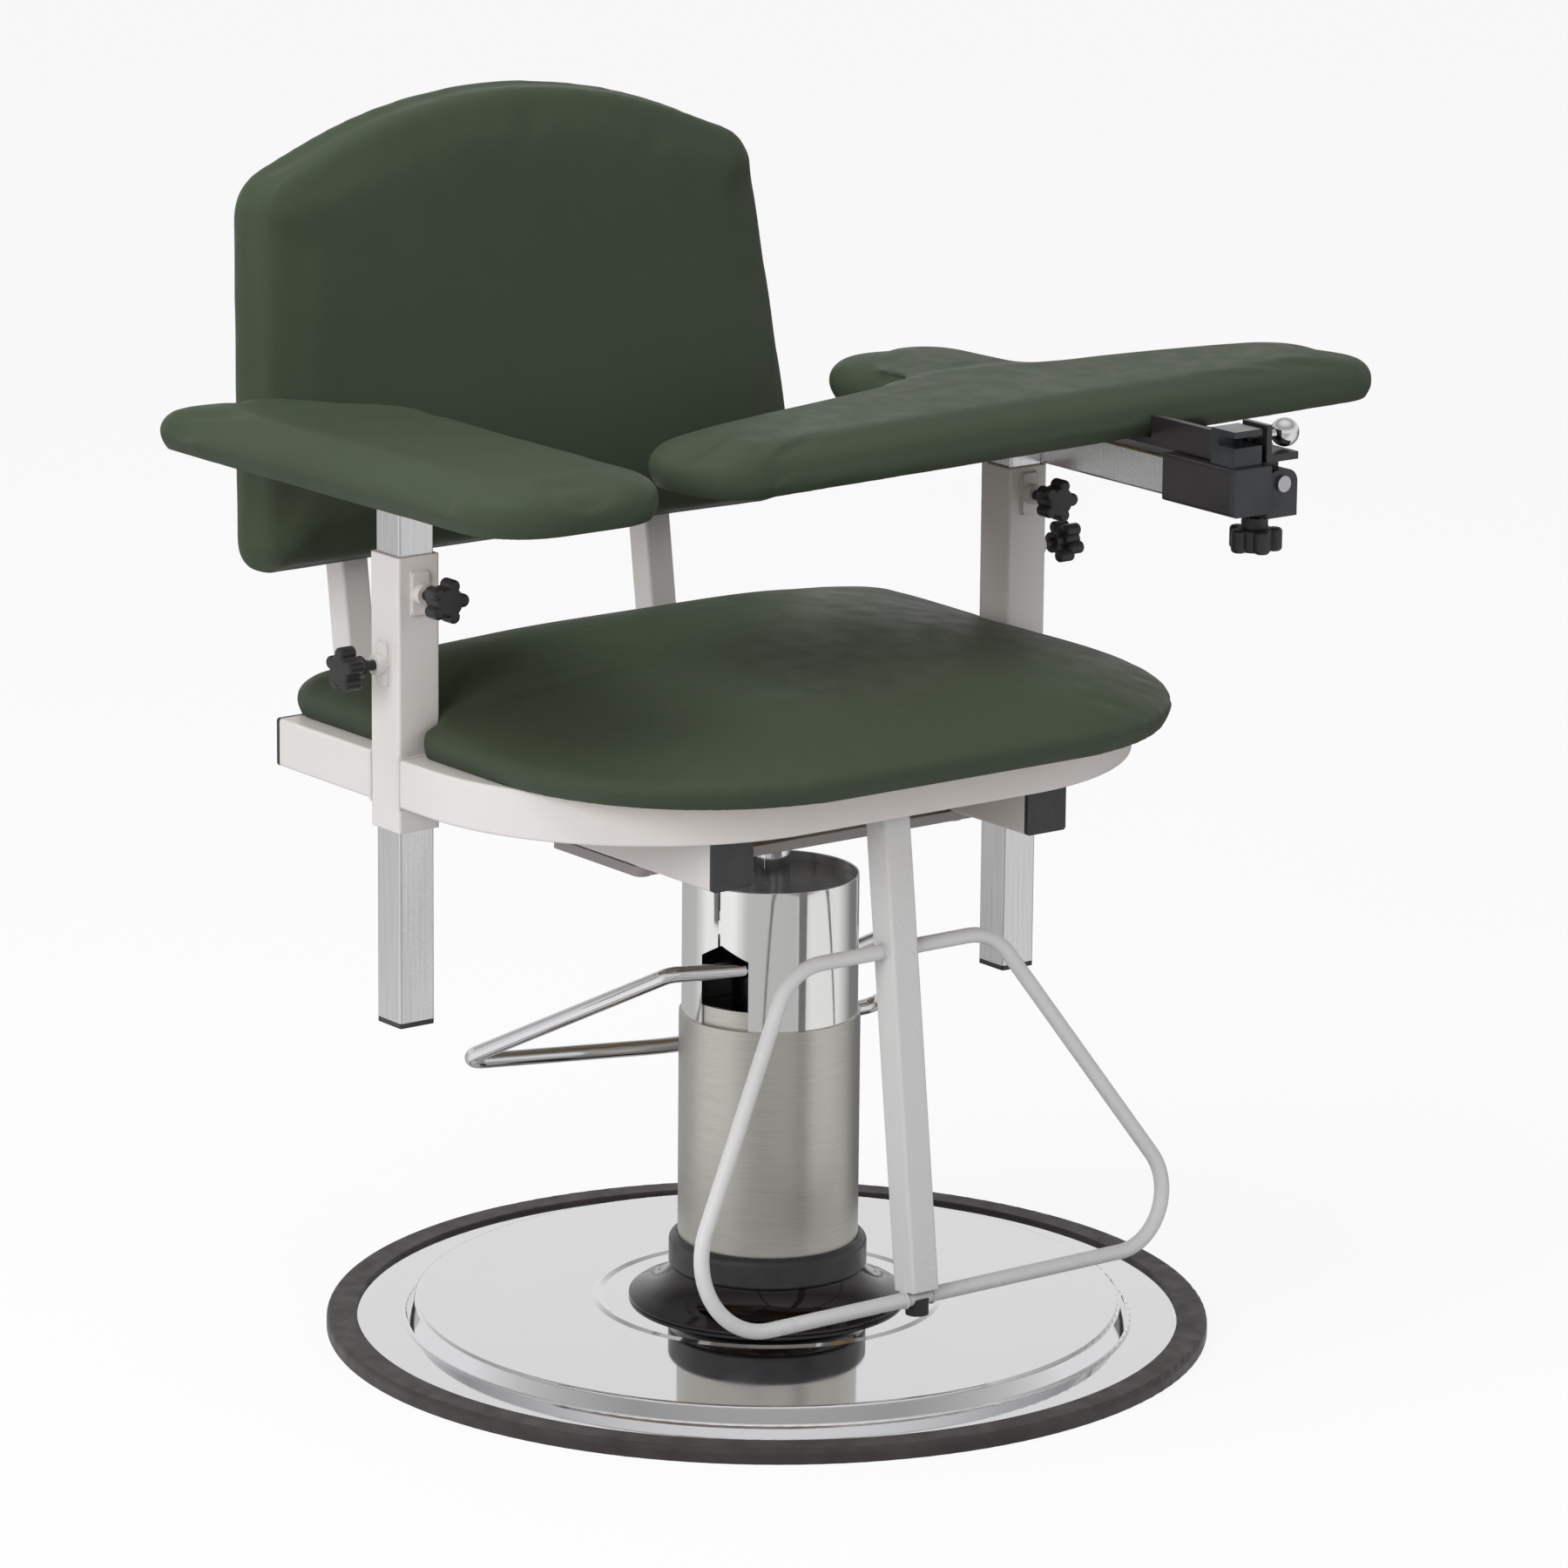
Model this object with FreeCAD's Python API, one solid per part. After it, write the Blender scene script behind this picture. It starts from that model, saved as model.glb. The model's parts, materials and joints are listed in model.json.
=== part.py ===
import FreeCAD, Part
import math
import os

# Phlebotomy chair on a hydraulic column, in millimetres.
# Origin: the column's axis at floor level. +Z is up, the sitter faces -Y.
# "left" is the -X side, "right" the +X side, as seen from the front.

V = FreeCAD.Vector

# Shared clearances and small sizes
seat_gap = 0.3            # between fixed pieces that only rest on each other
slide_gap = 0.3           # each side of a tube that slides in a tube
run_gap = 0.05            # radial, round shafts in bores
overrun = 5.0             # how far a cutting tool passes its face
least_round_share = 0.25  # of an outline's round that is left when it is drawn in
full_turn = 360.0
right_angle = 90.0

# Square tube stock
big_tube = 38.1
big_corner = 2.5
big_wall = 2.0
small_tube = 31.75
small_corner = 2.0
small_wall = 2.0
light_tube = 25.4
light_corner = 2.5
light_wall = 2.0

# Base
ring_height = 12.0
ring_round = 4.0
ring_foot_round = 1.0
plate_radius = 325.0
ring_width = 24.25
plate_sheet = 3.0
plate_edge_z = 9.0
disc_step = 38.0          # from the plate's rim in to the disc's foot
disc_slope = 8.0
disc_rise = 14.0
press_round = 4.0
ridge_radius = 135.0
ridge_half_width = 4.0
ridge_rise = 1.6
weight_inset = 8.0
weight_boss_radius = 112.0
bell_foot_radius = 110.0
bell_foot_height = 3.0
bell_waist_radius = 84.0
bell_top_radius = 77.0
bell_rise = 27.0
bell_waist_share = 0.45   # height of the waist in the bell's rise
collar_radius = 78.5
collar_height = 25.0
collar_round = 6.0
foot_bolt_radius = 5.0
foot_bolt_circle = 50.0
foot_bolt_head_radius = 8.5
foot_bolt_head = 6.0
foot_bolt_count = 4
foot_bolt_reach = 7.0

# Column, pump and piston
column_radius = 71.5
column_wall = 3.0
column_floor = 10.0
column_top_z = 258.0
neck_radius = 67.7
neck_height = 15.0
shroud_radius = 69.5
shroud_wall = 1.5
shroud_top_z = 370.0
window_from = 3.0         # degrees from the side towards the front
window_to = 39.0
window_eave_z = 314.0
window_peak_z = 325.0
seam_angle = 18.0
seam_width = 2.0
seam_long = 25.0
seam_short = 9.0
barrel_radius = 30.0
barrel_bore = 25.0
head_thick = 10.0
head_drop = 8.0           # the gland disc lies this far under the shroud's rim
rod_radius = 15.0
rod_shoulder_z = 399.0
piston_head = 10.0
piston_gap = 0.1
lift_stroke = 150.0
piston_end_gap = 2.0      # left between the piston and the gland at full height
washer_radius = 26.0
washer_thick = 4.0
spigot_radius = 12.0
spigot_height = 34.0
socket_radius = 22.0

# Pump rocker and pedal
shaft_y = -38.0
shaft_z = 306.0
shaft_radius = 6.0
shaft_half = 38.0
block_half = 14.0
block_front = 56.0
block_below = 30.0
block_above = 26.0
plunger_radius = 4.0
plunger_length = 34.0
pedal_rod = 12.7
pedal_straight = 8.0       # level stretch past each end of the shaft
pedal_arm_x = 108.0
pedal_arm_y = -14.0
pedal_left_x = -190.0     # left corner of the tread
pedal_left_y = 160.0
pedal_left_z = 208.0
pedal_back_y = 112.0      # where the tread passes behind the column
pedal_low_z = 203.0
pedal_right_x = 208.0
pedal_right_y = 118.0
pedal_eye_bend = 10.0
pedal_corner_bend = 13.0
pedal_back_bend = 260.0

# Seat carrier
beam_x = 152.0
beam_front_y = -150.0
beam_rear_y = 215.0
frame_bottom_z = 455.0
mount_thick = 8.0
mount_half_y = 58.0
mount_bolt_radius = 4.0
mount_bolt_y = 36.0
mount_bolt_head = 5.5
mount_bolt_head_radius = 7.0
mount_bolt_reach = 6.0
cap_lip = 5.0

# Seat frame and posts
post_inset = 3.8          # from the seat's side to the posts' centre
post_y = 72.7
post_bottom_z = 435.0
post_top_z = 649.5
frame_front_y = -190.0
frame_bend = 186.0
rail_rear_y = 218.0
cross_rear_gap = 23.0

# Clamp knobs on the posts
left_front_knob_z = 621.0
left_side_knob_z = 565.0
right_front_knob_z = 628.0
right_side_knob_z = 579.0
boss_radius = 8.0
boss_height = 10.0
boss_plate = 3.0
boss_plate_width = 15.0
boss_plate_height = 34.0
stud_radius = 4.0
knob_hub_radius = 12.0
knob_lobe_radius = 5.2
knob_lobe_circle = 12.4
knob_lobes = 5
knob_thick = 15.0
knob_round = 2.5
knob_neck_radius = 8.5
knob_neck = 7.0
knob_stand = 11.0         # bare stud between boss and knob neck

# Seat
board_thick = 12.0
board_rim = 13.0          # how far the upholstery wraps past a board's edge
seat_half = 300.0
seat_front_y = -246.0
seat_rear_y = 245.0
seat_front_round = 190.0
seat_rear_round = 42.0
seat_crown_round = 80.0   # corner round of the domed top's outlines
seat_crown_slide = 0.41   # how far back the dome leans, as a share of each outline's inset
seat_thick = 65.0
notch_gap = 2.5
notch_depth = 4.0
board_screw_radius = 3.0
board_screw_head_radius = 5.5
board_screw_head = 2.5
board_screw_reach = 9.0

# Back
back_lean = 8.0
back_rear_y = 357.2
back_bottom_z = 575.0
back_thick = 62.0
back_half_low = 267.0
back_half_high = 236.0
back_shoulder = 309.0
back_peak = 404.0         # where the two halves of the top would meet unrounded
back_low_round = 22.0
back_shoulder_round = 42.0
back_arch_round = 480.0
upright_x = 150.0
upright_bend = 45.0
upright_top = 235.0

# Footrest
rest_top_y = -158.0
rest_lean = 6.8
rest_rod = 12.0
rest_top_z = 346.0
rest_low_z = 75.0
rest_post_x = -8.5
rest_top_left = -110.0     # corners of the loop before its bends
rest_top_right = 86.0
rest_low_left = -248.0
rest_low_right = 284.0
rest_top_bend = 48.0
rest_left_bend = 60.0
rest_right_bend = 46.0
bumper_radius = 9.0
bumper_drop = 7.0

# Left arm
left_tube_bottom_z = 283.0
left_plate_z = 691.0
arm_plate = 6.0
arm_plate_half_x = 32.0
arm_plate_half_y = 60.0
left_pad_out = 70.0       # how far the pad reaches outward from the post's centre
left_pad_in = 115.0       # and inward
left_pad_taper = 11.0     # narrower by this at the front of its outer side
left_pad_front_y = -140.0
left_pad_bevel_y = 215.0  # the inner rear corner is cut off from here to the rear end
left_pad_bevel_in = 22.0
left_pad_rear_y = 323.0
left_pad_front_round = 60.0
left_pad_bevel_round = 100.0
left_pad_heel_round = 38.0
left_pad_rear_round = 20.0
pad_thick = 36.0
pad_board = 12.0
pad_rim = 9.0

# Right arm
right_tube_bottom_z = 236.0
rail_grip = 50.0          # length of rail inside the sleeve
sleeve_front_y = -180.0
sleeve_length = 82.0
sleeve_cap = 4.0
pads_gap = 55.2           # between the left pad and the right one
right_pad_y = 2.0
right_pad_yaw = 3.0
right_pad_z = 692.0
right_pad_half = 356.0
right_pad_corner_shares = [(-1.0, -0.224), (1.0, -0.218), (1.0, 0.118), (0.42, 0.26), (0.331, 0.272),
                           (0.314, 0.616), (-0.085, 0.616), (-0.05, 0.283), (-0.252, 0.258),
                           (-1.0, 0.106)]
right_pad_round_shares = [0.134, 0.134, 0.162, 0.168, 0.062, 0.157, 0.14, 0.042, 0.252, 0.157]

# Flip hinge on the sleeve
hinge_x_offset = 34.6     # from the rail's centre to the hinge pin
hinge_z = 668.0
pin_radius = 4.0
pin_head_radius = 6.5
pin_head = 3.0
ear_thick = 14.0
ear_round = 11.0
clevis_width = 31.0
clevis_bottom_z = 641.0
clevis_web_z = 655.0
knuckle_radius = 9.0
leaf_thick = 6.0
leaf_in = 10.0            # the leaf's sides, from the rail's centre
leaf_out = 56.0
leaf_rear_y = -5.0
leaf_front_y = -148.0
leaf_round = 8.0
web_thick = 16.0
flange_thick = 6.0
flange_rise = 18.0
flange_rear_y = -72.0
lug_thick = 5.0
lug_offset = 18.0         # from the rail's centre to the lug
lug_length = 30.0
lug_rise = 24.0
lock_in = 15.0            # the lock post's sides, from the rail's centre
lock_out = 13.0
lock_length = 29.0
lock_rise = 29.0
plunger_axis_rise = 13.0
pin_bolt_radius = 3.5
plunger_travel = 10.0     # how far the plunger drops into the lock post
lock_slot_gap = 0.5       # over and under the plunger in the lock post's slot
lock_slot_overrun = 2.0   # of the slot past the plunger's far side
collar_stub = 4.0
collar_stub_radius = 7.5
ball_radius = 11.5
wheel_in = 8.5            # from the hinge pin in to the sleeve's knob
wheel_y_offset = 22.0
wheel_drop = 2.0
wheel_round_share = 1.25  # size of the sleeve's knob against a post knob


def box(x0, x1, y0, y1, z0, z1):
    return Part.makeBox(x1 - x0, y1 - y0, z1 - z0, V(x0, y0, z0))


def bar(radius, start, end):
    return Part.makeCylinder(radius, (end - start).Length, start, end - start)


def rounded_wire(corners, rounds, closed=True):
    """Straight runs through the corners, with a tangent arc at each."""
    count = len(corners)
    entries = []
    exits = []
    middles = []
    for i, corner in enumerate(corners):
        before = corners[i - 1] - corner
        after = corners[(i + 1) % count] - corner
        if rounds[i] <= 0 or (not closed and i in (0, count - 1)):
            entries.append(corner)
            exits.append(corner)
            middles.append(None)
            continue
        before.normalize()
        after.normalize()
        half = before.getAngle(after) / 2
        reach = rounds[i] / math.tan(half)
        bisector = before + after
        bisector.normalize()
        entries.append(corner + before * reach)
        exits.append(corner + after * reach)
        middles.append(corner + bisector * (rounds[i] / math.sin(half) - rounds[i]))
    edges = []
    for i in range(count):
        if middles[i] is not None:
            edges.append(Part.Arc(entries[i], middles[i], exits[i]).toShape())
        if closed or i < count - 1:
            edges.append(Part.LineSegment(exits[i], entries[(i + 1) % count]).toShape())
    return Part.Wire(edges)


def slab(corners, rounds, z0, z1):
    """A flat plate whose outline is a rounded polygon."""
    face = Part.Face(rounded_wire([V(c.x, c.y, z0) for c in corners], rounds))
    return face.extrude(V(0, 0, z1 - z0))


def turned(outline, rounds):
    """A body of revolution about the column's axis, from (radius, height) points."""
    wire = rounded_wire([V(r, 0, z) for r, z in outline], rounds or [0] * len(outline))
    return Part.Face(wire).revolve(V(0, 0, 0), V(0, 0, 1), full_turn)


def square_wire(width, height, corner, origin, across, up):
    """A rounded rectangle round origin, in the plane of across and up."""
    sides = [(-1, -1), (1, -1), (1, 1), (-1, 1)]
    corners = [origin + across * (a * width / 2) + up * (b * height / 2) for a, b in sides]
    return rounded_wire(corners, [corner] * len(corners))


def straight_tube(start, end, across, width, height, corner, wall, closed_end=0):
    """A hollow rectangular tube. closed_end leaves that much solid at its end."""
    along = end - start
    along.normalize()
    up = along.cross(across)
    outer = Part.Face(square_wire(width, height, corner, start, across, up))
    inner = Part.Face(square_wire(width - 2 * wall, height - 2 * wall, max(corner - wall, wall / 4),
                                  start - along * overrun, across, up))
    length = (end - start).Length
    bore = length + 2 * overrun if not closed_end else length + overrun - closed_end
    return outer.extrude(along * length).cut(inner.extrude(along * bore))


def swept(path, section):
    return path.makePipeShell([section], True, False)


def bent_tube(corners, bends, across, width, corner, wall):
    """A hollow square tube along a flat path; across is square to the path's plane."""
    shells = []
    for size, rim, extra in ((width, corner, 0), (width - 2 * wall, max(corner - wall, wall / 4), overrun)):
        first = corners[0] - corners[1]
        first.normalize()
        last = corners[-1] - corners[-2]
        last.normalize()
        points = [corners[0] + first * extra] + list(corners[1:-1]) + [corners[-1] + last * extra]
        path = rounded_wire(points, bends, closed=False)
        section = square_wire(size, size, rim, points[0], across, first.cross(across))
        shells.append(swept(path, section))
    return shells[0].cut(shells[1])


def bent_rod(corners, bends, diameter):
    path = rounded_wire(corners, bends, closed=False)
    direction = corners[1] - corners[0]
    section = Part.Wire([Part.Circle(corners[0], direction, diameter / 2).toShape()])
    return swept(path, section)


def inset_outline(corners, rounds, inset, crown_round=0):
    """The outline drawn in by inset; a domed top's rounds open out again towards crown_round."""
    count = len(corners)
    new_corners = []
    new_rounds = []
    for i, corner in enumerate(corners):
        before = corner - corners[i - 1]
        after = corners[(i + 1) % count] - corner
        before.normalize()
        after.normalize()
        first = V(-before.y, before.x, 0)
        second = V(-after.y, after.x, 0)
        new_corners.append(corner + (first + second) * (inset / (1 + first.dot(second))))
        turn = before.x * after.y - before.y * after.x
        smaller = max(rounds[i] - inset, rounds[i] * least_round_share, min(inset, crown_round))
        new_rounds.append(smaller if turn > 0 else rounds[i] + inset)
    return new_corners, new_rounds


def cushion(corners, rounds, levels, crown_round, crown_slide):
    """A crowned form lofted through drawn-in copies of its outline: (height, inset)."""
    rings = []
    for height, inset in levels:
        points, bends = inset_outline(corners, rounds, inset, crown_round)
        rings.append(rounded_wire([V(p.x, p.y + inset * crown_slide, height) for p in points], bends))
    return Part.makeLoft(rings, True, True)


def crowned_levels(thick, soft, crown_shares, base_z):
    """Heights and insets for a cushion: drawn-in foot, full middle, rolled edge, crown."""
    return [(base_z + thick * share, soft * inset) for share, inset in crown_shares]


def board_and_cover(corners, rounds, levels, board, rim, base_z, crown_round=0, crown_slide=0):
    """A board with the cushion that wraps it: the cushion has a pocket for the board."""
    points, bends = inset_outline(corners, rounds, rim)
    panel = slab(points, bends, base_z, base_z + board)
    pocket_points, pocket_bends = inset_outline(corners, rounds, rim - seat_gap)
    pocket = slab(pocket_points, pocket_bends, base_z - overrun, base_z + board + seat_gap)
    return panel, cushion(corners, rounds, levels, crown_round, crown_slide).cut(pocket)


def placed(shape, position, axis, angle):
    moved = shape.copy()
    moved.Placement = FreeCAD.Placement(position, FreeCAD.Rotation(axis, angle)).multiply(shape.Placement)
    return moved


def turned_about_column(shape, angle):
    return placed(shape, V(0, 0, 0), V(0, 0, 1), angle)


def group(shapes):
    return Part.makeCompound(shapes)


# Heights and places worked out from the sizes above
ring_radius = plate_radius + ring_width
disc_foot_radius = plate_radius - disc_step
disc_top_radius = disc_foot_radius - disc_slope
weight_radius = plate_radius - weight_inset
post_x = seat_half - post_inset
boss_top_z = plate_edge_z + disc_rise - plate_sheet
disc_top_z = plate_edge_z + disc_rise
bell_top_z = disc_top_z + bell_rise
collar_top_z = bell_top_z + collar_height
column_foot_z = boss_top_z
barrel_foot_z = column_foot_z + column_floor
head_bottom_z = shroud_top_z - head_drop - head_thick
piston_top_z = head_bottom_z - piston_end_gap - lift_stroke
washer_top_z = rod_shoulder_z + washer_thick
mount_top_z = washer_top_z + mount_thick
beam_height = frame_bottom_z - mount_top_z
beam_mid_z = mount_top_z + beam_height / 2
frame_top_z = frame_bottom_z + big_tube
frame_mid_z = frame_bottom_z + big_tube / 2
post_face_y = post_y - big_tube / 2
post_back_y = post_y + big_tube / 2
frame_front_mid_y = frame_front_y + big_tube / 2
right_tube_top_z = post_top_z + 2 * slide_gap + small_tube
rail_x = post_x + small_tube / 2 + small_tube / 2
rail_mid_z = right_tube_top_z - small_tube / 2
rail_rear_end_y = post_y + small_tube / 2
sleeve_half = big_tube / 2
sleeve_right = rail_x + sleeve_half
sleeve_top_z = rail_mid_z + sleeve_half
hinge_x = rail_x + hinge_x_offset
leaf_left = rail_x - leaf_in
leaf_right = rail_x + leaf_out
lug_left = rail_x + lug_offset
lock_left = rail_x - lock_in
lock_right = rail_x + lock_out
leaf_bottom_z = right_pad_z - leaf_thick
right_pad_x = left_pad_in - post_x + pads_gap + right_pad_half
sleeve_rear_y = sleeve_front_y + sleeve_length
rail_front_y = sleeve_rear_y - rail_grip
plunger_y = sleeve_front_y + lug_length / 2
plunger_z = leaf_bottom_z + leaf_thick + plunger_axis_rise


def make_base():
    ring_inner = plate_radius + seat_gap
    base_ring = turned(
        [(ring_inner, 0), (ring_radius, 0), (ring_radius, ring_height), (ring_inner, ring_height)],
        [0, ring_foot_round, ring_round, ring_foot_round])
    hole = column_radius + seat_gap
    low = plate_edge_z - plate_sheet
    high = boss_top_z
    foot_in = disc_foot_radius - plate_sheet
    top_in = disc_top_radius - plate_sheet
    base_plate = turned(
        [(hole, disc_top_z), (ridge_radius - ridge_half_width, disc_top_z),
         (ridge_radius, disc_top_z + ridge_rise), (ridge_radius + ridge_half_width, disc_top_z),
         (disc_top_radius, disc_top_z), (disc_foot_radius, plate_edge_z), (plate_radius, plate_edge_z),
         (plate_radius, low), (foot_in, low), (top_in, high), (hole, high)],
        [0, 0, 0, 0, press_round, press_round, 0, 0, press_round / 4, press_round / 4, 0])
    weight = turned(
        [(0, 0), (weight_radius, 0), (weight_radius, low - seat_gap),
         (weight_boss_radius, low - seat_gap), (weight_boss_radius, high - seat_gap), (0, high - seat_gap)],
        [0, 0, ring_foot_round, 0, ring_foot_round, 0])
    bolts = []
    for i in range(foot_bolt_count):
        angle = math.radians(full_turn * (i + 1 / 2) / foot_bolt_count)
        at = V(foot_bolt_circle * math.cos(angle), foot_bolt_circle * math.sin(angle), 0)
        head = bar(foot_bolt_head_radius, at + V(0, 0, seat_gap), at + V(0, 0, foot_bolt_head))
        shank = bar(foot_bolt_radius, at + V(0, 0, seat_gap), at + V(0, 0, column_foot_z + foot_bolt_reach))
        bolts.append(head.fuse(shank).removeSplitter())
        sink = bar(foot_bolt_head_radius + seat_gap, at - V(0, 0, overrun), at + V(0, 0, foot_bolt_head))
        hole_bar = bar(foot_bolt_radius + seat_gap, at, at + V(0, 0, column_foot_z + overrun))
        weight = weight.cut(sink).cut(hole_bar)
    return {"base_ring": base_ring, "base_plate": base_plate, "base_weight": weight,
            "base_bolts": group(bolts)}


def make_column():
    bore = column_radius + seat_gap
    waist_z = disc_top_z + bell_rise * bell_waist_share
    bell = turned(
        [(bore, disc_top_z), (bell_foot_radius, disc_top_z),
         (bell_foot_radius, disc_top_z + bell_foot_height),
         (bell_waist_radius, waist_z), (bell_top_radius, bell_top_z), (bore, bell_top_z)],
        [0, ring_foot_round, ring_foot_round, column_radius / 2, 0, 0])
    collar = turned(
        [(bore, bell_top_z), (collar_radius, bell_top_z), (collar_radius, collar_top_z),
         (bore, collar_top_z)],
        [0, collar_round / 2, collar_round, 0])
    inner = column_radius - column_wall
    neck_in = neck_radius - column_wall
    neck_top = column_top_z + neck_height
    cylinder = turned(
        [(0, column_foot_z), (column_radius, column_foot_z), (column_radius, column_top_z),
         (neck_radius, column_top_z), (neck_radius, neck_top), (neck_in, neck_top),
         (neck_in, column_top_z - column_wall), (inner, column_top_z - 2 * column_wall),
         (inner, barrel_foot_z), (0, barrel_foot_z)],
        [])
    for i in range(foot_bolt_count):
        angle = math.radians(full_turn * (i + 1 / 2) / foot_bolt_count)
        at = V(foot_bolt_circle * math.cos(angle), foot_bolt_circle * math.sin(angle), 0)
        cylinder = cylinder.cut(bar(foot_bolt_radius, at, at + V(0, 0, column_foot_z + foot_bolt_reach)))
    return {"bell_flange": bell, "column_collar": collar, "pump_cylinder": cylinder}


def window_tool(side):
    """The pedal's window in the shroud: open at the foot, with a pointed top."""
    start = column_top_z - overrun
    at = [V(0, math.sin(math.radians(a)), 0) for a in (window_from, window_to)]
    near = -at[0].y * shroud_radius
    far = -at[1].y * shroud_radius
    outline = [V(0, near, start), V(0, far, start), V(0, far, window_eave_z),
               V(0, (near + far) / 2, window_peak_z), V(0, near, window_eave_z)]
    face = Part.Face(Part.makePolygon(outline + [outline[0]]))
    return face.extrude(V(side * (shroud_radius + overrun), 0, 0))


def make_pedal():
    """One rod: from the shaft's left end round behind the column to its right end."""
    eye = shaft_half + pedal_straight
    route = [V(-shaft_half, shaft_y, shaft_z), V(-eye, shaft_y, shaft_z),
             V(-pedal_arm_x, pedal_arm_y, shaft_z), V(pedal_left_x, pedal_left_y, pedal_left_z),
             V(0, pedal_back_y, pedal_low_z), V(pedal_right_x, pedal_right_y, pedal_low_z),
             V(pedal_arm_x, pedal_arm_y, shaft_z), V(eye, shaft_y, shaft_z),
             V(shaft_half, shaft_y, shaft_z)]
    corner = pedal_corner_bend
    bends = [0, pedal_eye_bend, corner, corner, pedal_back_bend, corner, corner, pedal_eye_bend, 0]
    return bent_rod(route, bends, pedal_rod)


def make_pump():
    shroud_in = shroud_radius - shroud_wall
    shroud = turned(
        [(shroud_in, column_top_z), (shroud_radius, column_top_z), (shroud_radius, shroud_top_z),
         (shroud_in, shroud_top_z)],
        [0, 0, shroud_wall / 3, shroud_wall / 3])
    shroud = shroud.cut(window_tool(-1)).cut(window_tool(1))
    for low, high in ((shroud_top_z - seam_long, shroud_top_z + overrun),
                      (window_peak_z - seam_short / 2, window_peak_z + seam_short)):
        seam = box(-shroud_radius - overrun, -shroud_in + overrun,
                   -seam_width / 2, seam_width / 2, low, high)
        shroud = shroud.cut(turned_about_column(seam, seam_angle))
    barrel = bar(barrel_radius, V(0, 0, barrel_foot_z), V(0, 0, head_bottom_z))
    barrel = barrel.cut(bar(barrel_bore, V(0, 0, barrel_foot_z - overrun),
                            V(0, 0, head_bottom_z + overrun)))
    head = bar(shroud_in - seat_gap, V(0, 0, head_bottom_z), V(0, 0, head_bottom_z + head_thick))
    head = head.cut(bar(rod_radius + run_gap, V(0, 0, head_bottom_z - overrun), V(0, 0, shroud_top_z)))
    block = box(-block_half, block_half, -block_front, 0, shaft_z - block_below, shaft_z + block_above)
    block = block.cut(bar(barrel_radius + seat_gap, V(0, 0, barrel_foot_z), V(0, 0, head_bottom_z)))
    shaft_from = V(-shaft_half, shaft_y, shaft_z)
    shaft_to = V(shaft_half, shaft_y, shaft_z)
    block = block.cut(bar(shaft_radius + run_gap, shaft_from, shaft_to))
    plunger_top = V(0, shaft_y, shaft_z - shaft_radius - seat_gap)
    plunger_low = plunger_top - V(0, 0, plunger_length)
    block = block.cut(bar(plunger_radius + run_gap, plunger_low - V(0, 0, overrun), V(0, shaft_y, shaft_z)))
    return {"pump_shroud": shroud, "pump_barrel": barrel, "pump_head": head, "pump_block": block,
            "pump_shaft": bar(shaft_radius, shaft_from, shaft_to),
            "pump_plunger": bar(plunger_radius, plunger_low, plunger_top),
            "pedal_loop": make_pedal()}


def make_piston():
    top = rod_shoulder_z + washer_thick + spigot_height
    rod = bar(rod_radius, V(0, 0, piston_top_z), V(0, 0, rod_shoulder_z))
    rod = rod.fuse(bar(spigot_radius, V(0, 0, rod_shoulder_z), V(0, 0, top)))
    piston = bar(barrel_bore - piston_gap, V(0, 0, piston_top_z - piston_head), V(0, 0, piston_top_z))
    rod = rod.fuse(piston)
    washer = bar(washer_radius, V(0, 0, rod_shoulder_z), V(0, 0, washer_top_z - slide_gap))
    washer = washer.cut(bar(spigot_radius + seat_gap, V(0, 0, rod_shoulder_z - overrun), V(0, 0, top)))
    return {"piston_rod": rod.removeSplitter(), "thrust_washer": washer}


def mount_bolt_places():
    return [V(a * beam_x, b * mount_bolt_y, 0) for a in (-1, 1) for b in (-1, 1)]


def make_mount():
    half_x = beam_x + big_tube / 2
    corners = [V(-half_x, -mount_half_y, 0), V(half_x, -mount_half_y, 0),
               V(half_x, mount_half_y, 0), V(-half_x, mount_half_y, 0)]
    plate = slab(corners, [mount_thick] * 4, washer_top_z, mount_top_z)
    socket_top = rod_shoulder_z + washer_thick + spigot_height
    plate = plate.fuse(bar(socket_radius, V(0, 0, washer_top_z), V(0, 0, socket_top)))
    plate = plate.cut(bar(spigot_radius + run_gap, V(0, 0, rod_shoulder_z), V(0, 0, socket_top + overrun)))
    bolts = []
    for at in mount_bolt_places():
        head_z = washer_top_z - mount_bolt_head
        head = bar(mount_bolt_head_radius, at + V(0, 0, head_z), at + V(0, 0, washer_top_z))
        shank = bar(mount_bolt_radius, at + V(0, 0, head_z), at + V(0, 0, mount_top_z + mount_bolt_reach))
        bolts.append(head.fuse(shank).removeSplitter())
        plate = plate.cut(bar(mount_bolt_radius + run_gap, at, at + V(0, 0, mount_top_z + overrun)))
    return {"mount_plate": plate.removeSplitter(), "mount_bolts": group(bolts)}


def tube_cap(at, outward, across, width, height, corner, wall):
    """A plug with a thin flange; outward points out of the tube's end."""
    up = outward.cross(across)
    flange = Part.Face(square_wire(width, height, corner, at, across, up)).extrude(outward * (2 * wall))
    plug_size = 2 * (wall + seat_gap)
    plug = Part.Face(square_wire(width - plug_size, height - plug_size, wall / 2, at, across, up))
    return flange.fuse(plug.extrude(outward * -cap_lip)).removeSplitter()


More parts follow.
